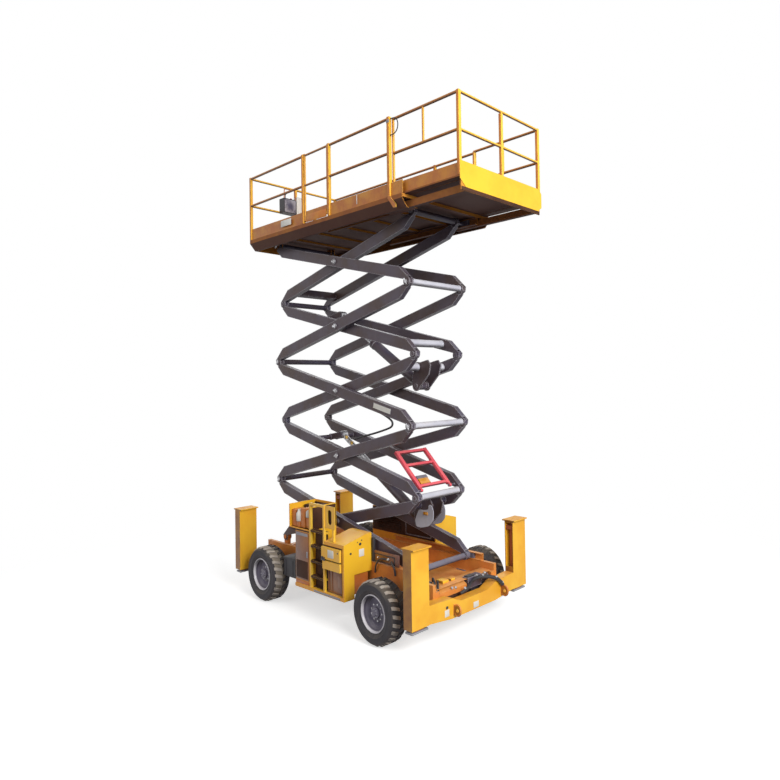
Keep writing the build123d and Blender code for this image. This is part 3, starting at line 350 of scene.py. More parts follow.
def worn_paint(name, slot_name, colour, shade, dust, bare, dusty=0.4, streaky=0.3, rough=0.38, wear=0.6,
               radius=0.004, coat=0.1, side_shade_colour=None, side_shade_amount=0.0, grime_and_underside_shade=(46, 40, 44), underside_shade_amount=0.8, shine=0.32,
               edge_highlight_width=None):
    """Sprayed enamel with rounded, worn edges, settled dust and rain streaks, and painted shade on its long
    sides and its downward faces.

    Colours are in 0-255 numbers.  The last argument is the width of a pale line along every edge, partly rubbed
    paint and partly a painted highlight.
    """
    material, tree, shader = new_material(name, slot_name)
    weather = group_node(tree, WEATHER, {
        "Colour": tone(*colour), "Shade": tone(*shade), "Dust": tone(*dust), "Dust Amount": dusty,
        "Streaks": streaky, "Roughness": rough, "Side Shade": tone(*(side_shade_colour or shade)), "Side Shade Amount": side_shade_amount,
        "Underside Shade": tone(*grime_and_underside_shade), "Underside Shade Amount": underside_shade_amount,
    })
    wear_node = group_node(tree, EDGE_WEAR, {"Radius": radius, "Amount": wear, "Scale": 45.0})
    # With a width given, a wide mask draws a pale line along every edge: partly rubbed paint, partly a painted
    # highlight.
    chips_and_edge_highlight = wear_node
    if edge_highlight_width is not None:
        values = {"Radius": edge_highlight_width, "Amount": wear, "Scale": 4.0, "Cover": 0.08}
        chips_and_edge_highlight = group_node(tree, EDGE_WEAR, values)
    if edge_highlight_width is None:
        fill(tree, shader, {"Metallic": wear_node.outputs["Mask"]})
    fill(tree, shader, {
        "Base Color": mix_colour(tree, chips_and_edge_highlight.outputs["Mask"], weather.outputs["Colour"], tone(*bare)),
        "Roughness": weather.outputs["Roughness"], "Specular IOR Level": shine, "Coat Weight": coat,
        "Coat Roughness": 0.25,
        "Normal": bump_node(tree, weather.outputs["Height"], wear_node.outputs["Normal"], 0.12, 0.001),
    })
    return material


# Each finish below also names the colour and amount of a painted shade on its long sides, and of a painted
# shade on its downward faces.
PALE_DUST = (176, 164, 146)
UNDERSIDE_SHADE = (58, 42, 36)
BRIGHT_YELLOW = (246, 206, 120)
SPRAYED = dict(rough=0.36, grime_and_underside_shade=UNDERSIDE_SHADE, underside_shade_amount=0.92)
ROUND_RAIL = dict(dusty=0.3, streaky=0.1, rough=0.4, wear=0.0, radius=0.0015, underside_shade_amount=0.95)
yellow = worn_paint(
    "yellow_enamel", "yellow_paint", (250, 196, 50), (242, 182, 44), (252, 188, 112), (150, 104, 60), dusty=0.8,
    streaky=0.12, wear=0.45, side_shade_colour=(224, 140, 44), side_shade_amount=0.78, **SPRAYED)
frame_yellow = worn_paint(
    "frame_enamel", "yellow_paint", (250, 194, 56), (240, 172, 46), (228, 150, 74), (150, 104, 60), dusty=0.6,
    streaky=0.12, wear=0.45, side_shade_colour=(124, 70, 40), side_shade_amount=0.9, **SPRAYED)
guard_yellow = worn_paint(
    "guard_enamel", "yellow_paint", (254, 208, 74), (248, 192, 54), (250, 206, 110), (170, 120, 70),
    streaky=0.1, wear=0.3, side_shade_colour=(244, 178, 66), side_shade_amount=0.8, **SPRAYED)
jack_brown = worn_paint(
    "jack_undercoat", "yellow_paint", (190, 104, 62), (164, 84, 50), (176, 120, 80), (90, 66, 52), dusty=0.3,
    streaky=0.2, rough=0.5, wear=0.4, side_shade_colour=(150, 80, 48), side_shade_amount=0.7, grime_and_underside_shade=UNDERSIDE_SHADE, underside_shade_amount=0.9)
# The decks' orange-brown stands for their yellow paint in shade: painted shade.
deck_shade_brown = worn_paint(
    "deck_painted_shade", "yellow_paint", (214, 146, 56), (190, 122, 50), (170, 130, 86), (80, 62, 52), dusty=0.3,
    streaky=0.15, rough=0.7, wear=0.4, coat=0.0, shine=0.2, side_shade_colour=(140, 86, 56), side_shade_amount=0.95,
    grime_and_underside_shade=(74, 54, 54), underside_shade_amount=0.97)
rail_yellow = worn_paint(
    "rail_enamel", "yellow_paint", (250, 200, 66), (244, 186, 52), BRIGHT_YELLOW, (160, 112, 70),
    side_shade_colour=(196, 104, 44), side_shade_amount=0.92, grime_and_underside_shade=(92, 62, 54), **ROUND_RAIL)
mid_grey = worn_paint(
    "mid_grey_enamel", "dark_paint", (116, 114, 130), (100, 94, 108), (150, 140, 132), (90, 84, 84),
    rough=0.4, wear=0.5)
deck_orange = worn_paint(
    "deck_orange", "yellow_paint", (226, 150, 70), (196, 112, 56), (240, 178, 112), (110, 80, 60), dusty=0.6,
    streaky=0.2, rough=0.42, wear=0.5, side_shade_amount=0.3)
tube_brown = worn_paint(
    "tube_enamel", "yellow_paint", (250, 196, 66), (244, 180, 52), BRIGHT_YELLOW, (160, 112, 70),
    side_shade_colour=(176, 98, 50), side_shade_amount=0.95, grime_and_underside_shade=(84, 58, 54), **ROUND_RAIL)
# An orange-brown that stands for yellow paint in shade: painted shade on the tank's panels and the cabinet's
# foot.
orange_shade_paint = worn_paint(
    "shaded_orange", "yellow_paint", (206, 124, 54), (176, 92, 44), (190, 140, 90), (90, 64, 52), dusty=0.3,
    rough=0.36, wear=0.5, side_shade_amount=0.4)
# The dark arms carry a wide pale line along every edge, partly rubbed paint and partly a painted highlight.
dark = worn_paint(
    "dark_enamel", "dark_paint", (76, 72, 94), (62, 48, 50), (120, 108, 104), (176, 172, 180), dusty=0.35,
    streaky=0.25, rough=0.42, wear=0.8, radius=0.008, edge_highlight_width=0.026, side_shade_colour=(92, 72, 62), side_shade_amount=0.45,
    grime_and_underside_shade=(46, 38, 50), underside_shade_amount=0.7)
pale = worn_paint(
    "pale_grey_enamel", "dark_paint", (158, 158, 164), (140, 140, 148), (176, 172, 166), (110, 106, 106),
    dusty=0.35, rough=0.4)
red = worn_paint(
    "red_enamel", "red_paint", (240, 92, 106), (226, 74, 90), (204, 150, 140), (120, 100, 96), dusty=0.35,
    streaky=0.25, rough=0.4, wear=0.8, radius=0.003)
rim_paint = worn_paint(
    "rim_enamel", "rim_grey", (150, 148, 156), (132, 130, 140), PALE_DUST, (210, 208, 206), dusty=0.35,
    streaky=0.4, wear=0.9, radius=0.003)
white_plate = worn_paint(
    "blank_plate", "yellow_paint", (232, 230, 224), (222, 218, 210), PALE_DUST, (180, 178, 172), dusty=0.2,
    rough=0.45, wear=0.3, radius=0.001)
print("materials", len(bpy.data.materials))

# %% [markdown]
# ### Bare steel, rubber, plastic and castings
# Pins and piston rods are bright turned steel, so their roughness follows fine rings and wipes.
# Tyre rubber is nearly black but holds pale dust in its pores.  The outer row of lugs is
# painted pale, partly dust and partly a painted highlight.
# Moulded plastic has a fine even grain.  The engine block is a rough grey casting.

# %% Steel, rubber, plastic and cast finishes
def bare_steel(name, colour, rough, grime_and_underside_shade):
    """Turned or plated steel with fine marks and a film of grime."""
    material, tree, shader = new_material(name, "bright_steel")
    wear_node = group_node(tree, EDGE_WEAR, {"Radius": 0.002, "Amount": 0.3, "Scale": 80.0})
    spot = object_spot(tree)
    film = ramp(tree, noise_node(tree, spot, 14.0, 4.0, 0.6), 0.42, 0.75)
    marks = noise_node(tree, spot, 180.0, 3.0, 0.6)
    roughness = plus(tree, times(tree, marks, 0.16), rough, times(tree, film, 0.22), clamp=True)
    fill(tree, shader, {
        "Base Color": mix_colour(tree, film, tone(*colour), tone(*grime_and_underside_shade)), "Metallic": 0.9,
        "Roughness": roughness, "Normal": bump_node(tree, marks, wear_node.outputs["Normal"], 0.08, 0.0005),
    })
    return material


def moulded(name, slot_name, colour, dust, dusty, rough, grain_size=220.0, bump=0.2, radius=0.003):
    """Rubber or moulded plastic: even grain, dust on what faces up and in the pores."""
    material, tree, shader = new_material(name, slot_name)
    colour, dust = tone(*colour), tone(*dust)
    weather = group_node(tree, WEATHER, {
        "Colour": colour, "Shade": tuple(0.8 * part for part in colour[:3]) + (1.0,), "Dust": dust,
        "Dust Amount": dusty, "Streaks": 0.15, "Roughness": rough,
    })
    wear_node = group_node(tree, EDGE_WEAR, {"Radius": radius, "Amount": 0.25, "Scale": 60.0})
    grain = noise_node(tree, object_spot(tree), grain_size, 3.0, 0.6)
    fill(tree, shader, {
        "Base Color": mix_colour(tree, wear_node.outputs["Mask"], weather.outputs["Colour"], dust),
        "Roughness": weather.outputs["Roughness"],
        "Normal": bump_node(tree, grain, wear_node.outputs["Normal"], bump, 0.001),
    })
    return material


steel = bare_steel("plated_steel", (196, 196, 200), 0.22, (126, 122, 120))
brass = bare_steel("brass_fitting", (214, 176, 96), 0.28, (130, 104, 60))
rubber = moulded("dusty_rubber", "tyre_rubber", (52, 49, 54), (150, 138, 122), 0.5, 0.78, 140.0, 0.35)
# The outer row of bars: pale, partly dust and partly a painted highlight.
highlit_tread_rubber = moulded("highlit_tread_rubber", "tyre_rubber", (176, 166, 158), (214, 204, 190), 0.8, 0.85, 90.0, 0.5)
dusty_tread = moulded("dusty_tread", "tyre_rubber", (142, 132, 120), (176, 164, 148), 0.6, 0.9, 90.0, 0.5)
plastic = moulded("black_moulding", "black_plastic", (46, 44, 50), (110, 104, 98), 0.35, 0.5)
cast = moulded("casting", "cast_block", (86, 84, 90), (120, 108, 92), 0.5, 0.6, 70.0, 0.5, 0.004)
hose_rubber = moulded("hose_rubber", "black_plastic", (38, 36, 42), (96, 90, 84), 0.25, 0.55, 300.0, 0.15,
                      0.001)
amber = moulded("amber_lens", "yellow_paint", (226, 150, 24), (190, 150, 90), 0.2, 0.22, 400.0, 0.05, 0.002)
amber.node_tree.nodes["Principled BSDF"].inputs["Coat Weight"].default_value = 0.6
print("materials", len(bpy.data.materials))

# %% [markdown]
# ## Finishes on the carried-over nodes
# Each node of the CAD model already names the finish of each of its faces by a material slot,
# so the worn finishes are set by those names.  Some nodes then get a finish of their own, in
# another tone of the same paint.  On the decks and the chassis rails that tone is browner or
# more orange, a painted shade.

# %% Put the finishes on the nodes
BY_SLOT = {
    "yellow_paint": yellow, "dark_paint": dark, "red_paint": red, "bright_steel": steel,
    "rim_grey": rim_paint, "tyre_rubber": rubber, "black_plastic": plastic, "cast_block": cast,
}
for node in nodes.values():
    for holder in node.material_slots:
        for slot_name, finish in BY_SLOT.items():
            if holder.material is not None and holder.material.name.startswith(slot_name):
                holder.material = finish
                break
CORNERS = ("front_near", "front_far", "rear_near", "rear_far")
OWN_FINISH = (
    (deck_shade_brown, ("platform_deck", "extension_deck")),
    (tube_brown, ("platform_rails", "extension_rails", "gate")),
    (frame_yellow, ("end_frames",)),
    # The chassis rails are painted orange, as their yellow looks under the deck: painted shade.
    (deck_orange, ("chassis_frame",)),
    (guard_yellow, ("access_ladder", "ground_control_box")),
    (mid_grey, ("base_slider",)),
    (jack_brown, ["jack_" + corner for corner in CORNERS]),
)
for finish, names in OWN_FINISH:
    for name in names:
        for holder in nodes[name].material_slots:
            holder.material = finish
print({node.material_slots[0].material.name for node in nodes.values()})

# %% [markdown]
# ## Helpers for new pieces
# Every fitting below is modelled by bmesh operators in its final place, so its object stays at
# the origin.  One helper turns a finished bmesh into an object with its finish and its body, and
# a few others make the plain forms that fittings start from: a box, a turned shape, a pin and a
# pipe.  Three more turn a table of boxes, pins or pipes into one piece.

# %% Piece helpers
made = []


def place(piece_mesh, matrix, verts=None):
    """Moves vertices of a bmesh, or all of them, by a matrix."""
    bmesh.ops.transform(piece_mesh, matrix=matrix, verts=verts or piece_mesh.verts[:])


def finish_piece(piece_mesh, name, body, finish, smooth_below=30.0, hides=()):
    """A bmesh becomes an object that rides on a body and wears a finish."""
    bmesh.ops.recalc_face_normals(piece_mesh, faces=piece_mesh.faces[:])
    mesh = bpy.data.meshes.new(name)
    piece_mesh.to_mesh(mesh)
    piece_mesh.free()
    mesh.polygons.foreach_set("use_smooth", [True] * len(mesh.polygons))
    mesh.set_sharp_from_angle(angle=radians(smooth_below))
    piece = add_object(name, mesh)
    mesh.materials.append(finish)
    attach(piece, body)
    if hides:
        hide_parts(*hides)
    made.append(name)


def add_box(piece_mesh, low, high, round_by=0.0, segments=2):
    """A box between two corners, with its edges rounded; returns its vertices."""
    verts = bmesh.ops.create_cube(piece_mesh, size=1.0)["verts"]
    middle = [(a + b) / 2 for a, b in zip(low, high)]
    size = [b - a for a, b in zip(low, high)]
    place(piece_mesh, Matrix.Translation(middle) @ Matrix.Diagonal((*size, 1.0)), verts)
    if round_by > 0:
        edges = list({edge for vert in verts for edge in vert.link_edges})
        made_by = bmesh.ops.bevel(piece_mesh, geom=edges, offset=round_by, segments=segments, affect="EDGES",
                                  profile=0.5, material=-1)
        rounded = {vert for face in made_by["faces"] for vert in face.verts}
        verts = list(rounded | {vert for vert in verts if vert.is_valid})
    return verts


def axis_matrix(start, end):
    """A matrix that lays +Z along a line, with its origin at the start."""
    along = (Vector(end) - Vector(start)).normalized()
    return Matrix.Translation(start) @ along.to_track_quat("Z", "Y").to_matrix().to_4x4()


def add_turned(piece_mesh, profile, matrix, steps=24):
    """A closed profile of (radius, height) points, spun about Z, then placed."""
    corners = [piece_mesh.verts.new((radius, 0.0, height)) for radius, height in profile]
    closing = [] if profile[0][0] == profile[-1][0] == 0.0 else corners[:1]
    edges = [piece_mesh.edges.new((a, b)) for a, b in zip(corners, corners[1:] + closing)]
    before = set(piece_mesh.verts) - set(corners)
    bmesh.ops.spin(piece_mesh, geom=corners + edges, cent=(0, 0, 0), axis=(0, 0, 1), angle=2 * pi, steps=steps,
                   use_merge=True, use_duplicate=False)
    verts = [vert for vert in piece_mesh.verts if vert not in before]
    bmesh.ops.remove_doubles(piece_mesh, verts=verts, dist=1e-6)
    place(piece_mesh, matrix, [vert for vert in piece_mesh.verts if vert not in before])


def copy_round(piece_mesh, verts, count):
    """Copies loose vertices and what they bound round Z, until there are so many of them."""
    ring = [*verts, *{e for v in verts for e in v.link_edges}, *{f for v in verts for f in v.link_faces}]
    bmesh.ops.spin(piece_mesh, geom=ring, cent=(0, 0, 0), axis=(0, 0, 1), angle=2 * pi * (count - 1) / count,
                   steps=count - 1, use_duplicate=True)


def add_pin(piece_mesh, start, end, radius, steps=20, chamfer=0.003):
    """A round bar between two points with chamfered ends."""
    length = (Vector(end) - Vector(start)).length
    profile = [(0.0, 0.0), (radius - chamfer, 0.0), (radius, chamfer), (radius, length - chamfer),
               (radius - chamfer, length), (0.0, length)]
    add_turned(piece_mesh, profile, axis_matrix(start, end), steps)


def add_pipe(piece_mesh, points, radius, steps=12):
    """A pipe bent through points from the middle of the chassis, with rounded bends."""
    curve = bpy.data.curves.new("pipe_line", "CURVE")
    curve.dimensions = "3D"
    curve.bevel_depth = radius
    curve.bevel_resolution = max(1, steps // 4)
    curve.use_fill_caps = True
    curve.resolution_u = 6
    spline = curve.splines.new("NURBS")
    spline.points.add(len(points) - 1)
    for control, point in zip(spline.points, points):
        control.co = (*at(*point), 1.0)
    spline.order_u = 3
    spline.use_endpoint_u = True
    holder = bpy.data.objects.new("pipe_line", curve)
    pipe_shape = bpy.data.meshes.new_from_object(holder)
    piece_mesh.from_mesh(pipe_shape)
    bpy.data.objects.remove(holder)
    bpy.data.curves.remove(curve)
    bpy.data.meshes.remove(pipe_shape)


def box_piece(name, finish, boxes, round_by=0.004, body="chassis"):
    """Boxes with rounded edges, each (x0, x1, y0, y1, z0, z1) from the middle of the chassis."""
    piece_mesh = bmesh.new()
    for x0, x1, y0, y1, z0, z1 in boxes:
        thinnest = min(x1 - x0, y1 - y0, z1 - z0)
        add_box(piece_mesh, at(x0, y0, z0), at(x1, y1, z1), min(round_by, 0.4 * thinnest))
    finish_piece(piece_mesh, name, body, finish)


def pin_piece(name, finish, pins, smooth_below=30, body="chassis"):
    """Pins, each (start, end, radius, steps, chamfer) from the middle of the chassis."""
    piece_mesh = bmesh.new()
    for start, end, radius, steps, chamfer in pins:
        add_pin(piece_mesh, at(*start), at(*end), radius, steps, chamfer)
    finish_piece(piece_mesh, name, body, finish, smooth_below)


def pipe_piece(name, finish, pipes, body="chassis"):
    """Pipes, each (radius, steps, points) from the middle of the chassis."""
    piece_mesh = bmesh.new()
    for radius, steps, points in pipes:
        add_pipe(piece_mesh, points, radius, steps)
    finish_piece(piece_mesh, name, body, finish, 60)


print("piece helpers ready")

# %% [markdown]
# ## Tyres
# Each tyre is a solid-looking, foam-filled traction tyre: a dark carcass with a rounded shoulder,
# and chevron bars that clean themselves in mud.  The carcass could be sculpted, but a turned
# section is truer and quicker.  One bar is a box cut along its length and wrapped on the tread
# by a short rule, then spun round the axle as copies.  The two rows of bars are pieces of their
# own, because the outer row is painted pale, partly dust and partly a painted highlight, and the
# inner one is left black.  The rear tyres carry a band of dust between their bars.

# %% Tyre carcass and bars
AXLE_Z = TYRE_R
WHEELS = {
    "front_near": (WHEELBASE / 2, -1), "front_far": (WHEELBASE / 2, 1),
    "rear_near": (-WHEELBASE / 2, -1), "rear_far": (-WHEELBASE / 2, 1),
}
BARS = 24
BAR_START, BAR_REACH = 0.01, 0.131            # across the tread, from the tyre's middle
BAR_TALL, BAR_SUNK = 0.018, 0.012
BAR_TOP, BAR_FOOT = 0.04, 0.052               # thickness of a bar
BAR_SWEEP = 0.42                              # how far a bar leans back as it goes outwards
SHOULDER = 0.1
CARCASS = [
    (0.226, 0.1), (0.24, 0.116), (0.262, 0.121), (0.27, 0.128), (0.3, 0.139), (0.306, 0.144),
    (0.312, 0.141), (0.345, 0.1445), (0.372, 0.143), (0.377, 0.1448), (0.384, 0.139), (0.4, 0.124),
    (0.408, 0.098), (0.411, 0.05),
]
DUST_BAND = [(0.4118, -0.06), (0.4128, -0.05), (0.4128, 0.0), (0.4122, 0.09), (0.41, 0.104)]


def wheel_matrix(key):
    """Lays +Z of a turned shape along the axle, outwards, at the middle of a wheel's width."""
    x, side = WHEELS[key]
    middle = at(x, side * (TYRE_OUT - TYRE_W / 2), AXLE_Z)
    return Matrix.Translation(middle) @ Matrix.Rotation(-side * pi / 2, 4, "X")


def tread_radius(across):
    """Radius of the carcass under a bar, at a distance from the tyre's middle."""
    return 0.409 - 2.88 * max(0.0, across - SHOULDER) ** 1.18


def add_bar(piece_mesh, side):
    """One tread bar in the tyre's own frame, with the axle along Z."""
    verts = bmesh.ops.create_cube(piece_mesh, size=1.0)["verts"]
    edges = {e for v in verts for e in v.link_edges}
    long_edges = [e for e in edges if abs((e.verts[0].co - e.verts[1].co).y) > 0.5]
    bmesh.ops.subdivide_edges(piece_mesh, edges=long_edges, cuts=4, use_grid_fill=True)
    for vert in piece_mesh.verts:
        across = BAR_START + (vert.co.y + 0.5) * BAR_REACH
        top = vert.co.z > 0
        rise = BAR_TALL - 0.05 * max(0.0, across - SHOULDER) if top else -BAR_SUNK
        radius = tread_radius(across) + rise
        thick = (BAR_TOP if top else BAR_FOOT) * (1.0 + 1.6 * across)
        angle = (vert.co.x * thick + BAR_SWEEP * across) / TYRE_R
        vert.co = Vector((radius * cos(angle), radius * sin(angle), side * across))


def wheel_piece(kind, key, finish, profile, steps, smooth_below, hides=()):
    """A shape turned about a wheel's axle, as one piece."""
    turned = bmesh.new()
    add_turned(turned, profile, wheel_matrix(key), steps)
    finish_piece(turned, f"{kind}_{key}", "wheel_" + key, finish, smooth_below, hides)


def build_tyre(key):
    """A carcass, two rows of bars and, on a rear wheel, the band of dust."""
    section = CARCASS + [(radius, -width) for radius, width in reversed(CARCASS)]
    wheel_piece("carcass", key, rubber, section, 72, 40, ("tyre_" + key,))
    if key.startswith("rear"):
        wheel_piece("tread_dust", key, dusty_tread, DUST_BAND, 72, 60)
    # The outer row wears the pale tread finish, partly a painted highlight; the inner row the dark rubber.
    for side, turn_by, row, finish in ((1, 0.0, "outer", highlit_tread_rubber), (-1, pi / BARS, "inner", rubber)):
        bars = bmesh.new()
        add_bar(bars, side)
        place(bars, Matrix.Rotation(turn_by, 4, "Z"))
        copy_round(bars, bars.verts[:], BARS)
        place(bars, wheel_matrix(key))
        finish_piece(bars, f"tread_bars_{row}_{key}", "wheel_" + key, finish, 50)


for key in WHEELS:
    build_tyre(key)
print("tyres", len(WHEELS), "with", 2 * BARS, "bars each")

# %% [markdown]
# ## Rims
# A rim is a pressed dish welded in a rolled hoop.  The hoop's lip is painted near white, a painted
# highlight, so it gets its own piece and finish, and the dish a darker grey.  Both are turned shapes.
# The wheel nuts are six-sided cones with a flat top, copied round the bolt circle by a spin.

# %% Rims with hub and nuts
rim_dark = worn_paint(
    "rim_dish_enamel", "rim_grey", (112, 106, 122), (96, 92, 108), (150, 144, 142), (190, 188, 190),
    dusty=0.35, streaky=0.4, rough=0.42, wear=0.8)
# The lip's near white is a painted highlight.
lip_highlight = worn_paint(
    "rim_lip_enamel", "rim_grey", (226, 222, 228), (204, 198, 206), PALE_DUST, (236, 234, 236), dusty=0.2,
    streaky=0.2, rough=0.32, radius=0.003, shine=0.5)
HOOP = [
    (0.222, 0.02), (0.224, 0.098), (0.23, 0.118), (0.238, 0.1285), (0.247, 0.1265), (0.251, 0.119),
    (0.246, 0.11), (0.236, 0.103), (0.231, 0.09), (0.229, 0.01),
]
DISH = [
    (0.0, 0.046), (0.07, 0.046), (0.1, 0.03), (0.17, 0.012), (0.216, 0.006), (0.2235, -0.1),
    (0.246, -0.112), (0.2505, -0.12), (0.232, -0.126), (0.214, -0.112), (0.212, 0.04), (0.2212, 0.058),
    (0.2212, 0.098), (0.2185, 0.098), (0.217, 0.066), (0.208, 0.052), (0.192, 0.03), (0.16, 0.026),
    (0.118, 0.042), (0.096, 0.058), (0.078, 0.06), (0.074, 0.084), (0.06, 0.092), (0.04, 0.094),
    (0.036, 0.104), (0.0, 0.106),
]
NUT_RINGS = ((9, 0.108, 0.0135, 0.05), (8, 0.056, 0.007, 0.09))   # count, circle, size, height


def build_rim(key):
    """A hoop, a dish and two rings of nuts."""
    wheel_piece("rim_lip", key, lip_highlight, HOOP, 64, 40)
    wheel_piece("rim_dish", key, rim_dark, DISH, 64, 30, ("rim_" + key,))
    nuts = bmesh.new()
    for count, circle, size, height in NUT_RINGS:
        verts = bmesh.ops.create_cone(nuts, cap_ends=True, segments=6, radius1=size, radius2=0.8 * size,
                                      depth=0.022)["verts"]
        place(nuts, Matrix.Translation((circle, 0.0, height)), verts)
        copy_round(nuts, verts, count)
    place(nuts, wheel_matrix(key))
    finish_piece(nuts, "wheel_nuts_" + key, "wheel_" + key, steel, 25)


for key in WHEELS:
    build_rim(key)
print("rims", len(WHEELS))

# %% [markdown]
# ## The scissor's pins and their keepers
# Each pivot line has a hardened pin.  Its head shows outside the arm with a flat keeper that a
# bolt holds, so the pin can't turn or walk out.  The heads could be drawn in place one by one,
# but every stack has the same frame, so one rule lays a fitting in the frame's own axes and
# a matrix puts it on its stack, leaning left or right as the stack does.

# %% Pin heads and keepers
PIN_FACE = 0.571                              # outer face of the heads that the frame carries


def frame_matrix(level, rises_right):
    """From a stack's own frame, x along its pivot line from the lower pivot, to the machine."""
    foot = at(PIVOT_L if rises_right else PIVOT_R, 0.0, PIVOT_Z + (level - 1) * RISE)
    lean = Matrix.Rotation(-TILT if rises_right else TILT, 4, "Y")
    return Matrix.Translation(foot) @ lean @ Matrix.Diagonal((1.0 if rises_right else -1.0, 1.0, 1.0, 1.0))


def add_pin_head(piece_mesh, x, z, side, radius, turn_by):
    """A bright pin end with a keeper and its two bolts, on one side of the machine."""
    face = side * PIN_FACE
    add_pin(piece_mesh, (x, face, z), (x, face + side * 0.006, z), radius, 20, 0.002)
    keeper = add_box(piece_mesh, (-0.05, -0.006, -0.013), (0.05, 0.0, 0.013), 0.002, 1)
    lay = Matrix.Translation((x, face + side * 0.01, z)) @ Matrix.Rotation(turn_by, 4, "Y")
    place(piece_mesh, lay @ Matrix.Diagonal((1.0, side, 1.0, 1.0)), keeper)
    for along in (-0.038, 0.038):
        bolt = bmesh.ops.create_cone(piece_mesh, cap_ends=True, segments=6, radius1=0.008, radius2=0.007,
                                     depth=0.007)["verts"]
        stand = Matrix.Translation((along, side * 0.003, 0.0)) @ Matrix.Rotation(-side * pi / 2, 4, "X")
        place(piece_mesh, lay @ stand, bolt)


def pin_head_piece(kind, group, level, rises_right, x, z, radius, turn_by):
    """The near and the far head of one pivot line, as one piece."""
    heads = bmesh.new()
    for side in (-1, 1):
        add_pin_head(heads, x, z, side, radius, turn_by)
    place(heads, frame_matrix(level, rises_right))
    finish_piece(heads, f"{kind}_pin_heads_{level}", f"{group}_stack_{level}", steel)


for level in range(1, 6):
    inner_right = level % 2 == 1
    pin_head_piece("centre", "inner", level, inner_right, ARM_RUN / 2, STACK_STEP / 2, 0.03, 0.4)
    pin_head_piece("joint", "outer", level, not inner_right, ARM_RUN, STACK_STEP, 0.026, 1.2)
print("pin heads", 5 * 4)

# %% [markdown]
# ## Tubes and cross beams of the scissor
# The tubes that tie the arms together at the right-hand joints are painted pale grey.  They
# could share the arms' node with a second finish, but the arms carry one finish each, so a close
# sleeve with a collar at each end stands for the paint and the weld.

# %% Pale tubes, sleeves and the cross beam
tube_grey = worn_paint(
    "tube_grey_enamel", "dark_paint", (206, 206, 216), (182, 182, 196), PALE_DUST, (112, 108, 110), dusty=0.3,
    rough=0.36, wear=0.5)
COLLAR, COLLAR_TALL = 0.03, 0.004             # how long a collar is, and how thick
STUB_X, STUB_Z = 0.33, EDGE_OFF + ARM_H / 2   # where a stub tube crosses its arms
TUBE_R, STUB_R = 0.047, 0.056
BEAM_HALF = Vector((0.055, 0.377, 0.06))


def add_sleeve(piece_mesh, x, z, y0, y1, radius):
    """A tube across the machine with a thicker welded collar at each end."""
    long = y1 - y0
    collar = radius + COLLAR_TALL
    half = [(0.0, 0.0), (collar, 0.0), (collar + 0.002, 0.008), (collar, COLLAR), (radius, COLLAR + 0.006)]
    profile = half + [(r, long - height) for r, height in reversed(half)]
    add_turned(piece_mesh, profile, axis_matrix((x, y0, z), (x, y1, z)), 28)


def sleeve_piece(name, body, level, rises_right, runs, radius):
    """Sleeves given as (x, z, y0, y1) in a stack's own frame, as one piece."""
    sleeves = bmesh.new()
    for run in runs:
        add_sleeve(sleeves, *run, radius)
    place(sleeves, frame_matrix(level, rises_right))
    finish_piece(sleeves, name, body, tube_grey)


for level, group, reach in ((2, "outer", 0.474), (4, "outer", 0.474), (1, "inner", 0.374)):
    sleeve_piece(f"joint_tube_{level}", f"{group}_stack_{level}", level, True,
                 [(ARM_RUN, STACK_STEP, -reach, reach)], TUBE_R)
sleeve_piece("stub_sleeves_3", "inner_stack_3", 3, True,
             [(ARM_RUN - STUB_X, STUB_Z, y0, y0 + 0.26) for y0 in (-0.376, 0.116)], STUB_R)
sleeve_piece("stub_sleeve_4", "inner_stack_4", 4, False, [(STUB_X, STUB_Z, -0.376, 0.376)], STUB_R)
beam = bmesh.new()
middle = Vector((STUB_X, 0.0, STUB_Z))
add_box(beam, middle - BEAM_HALF, middle + BEAM_HALF, 0.008)
place(beam, frame_matrix(5, True))
finish_piece(beam, "cross_beam_5", "inner_stack_5", dark)
print("tubes and beam", 6)

# %% [markdown]
# ## Foot brackets of the lower cylinder
# Two curved plates carry the cylinder's foot below the first joint, and their outer faces are
# pale.  Each is extruded from one flat face, whose corners are first bevelled in the plane, which
# gives the long curve without plotting one.  An amber reflector sits on each side.

# %% Curved bracket covers and the reflectors
COVER = [
    (1.235, 1.6), (1.15, 1.44), (1.175, 1.345), (1.3, 1.345), (1.45, 1.385), (1.535, 1.47),
    (1.545, 1.6), (1.5, 1.69), (1.44, 1.69), (1.44, 1.62), (1.33, 1.6),
]


def add_plate(piece_mesh, edge_highlight_width, y0, y1, round_by):
    """A flat plate across Y, from an outline of (x, z) corners that are rounded in its plane."""
    others = set(piece_mesh.verts)
    corners = [piece_mesh.verts.new(at(x, y0, z)) for x, z in edge_highlight_width]
    piece_mesh.faces.new(corners)
    bmesh.ops.bevel(piece_mesh, geom=corners, offset=round_by, segments=4, affect="VERTICES", profile=0.5,
                    material=-1)
    faces = [f for f in piece_mesh.faces if all(v not in others for v in f.verts)]
    grown = bmesh.ops.extrude_face_region(piece_mesh, geom=faces)
    verts = [v for v in grown["geom"] if isinstance(v, bmesh.types.BMVert)]
    bmesh.ops.translate(piece_mesh, verts=verts, vec=(0.0, y1 - y0, 0.0))


cover = bmesh.new()
add_plate(cover, COVER, -0.119, -0.1105, 0.03)
add_plate(cover, COVER, 0.1105, 0.119, 0.03)
finish_piece(cover, "foot_bracket_covers", "inner_stack_1", tube_grey)
lens = bmesh.new()
LENS_HALF = Vector((0.045, 0.0065, 0.022))
for side in (-1, 1):
    middle = at(1.385, side * 0.1255, 1.56)
    add_box(lens, middle - LENS_HALF, middle + LENS_HALF, 0.006, 3)
finish_piece(lens, "amber_reflectors", "inner_stack_1", amber, 40)
print("bracket covers", 2)

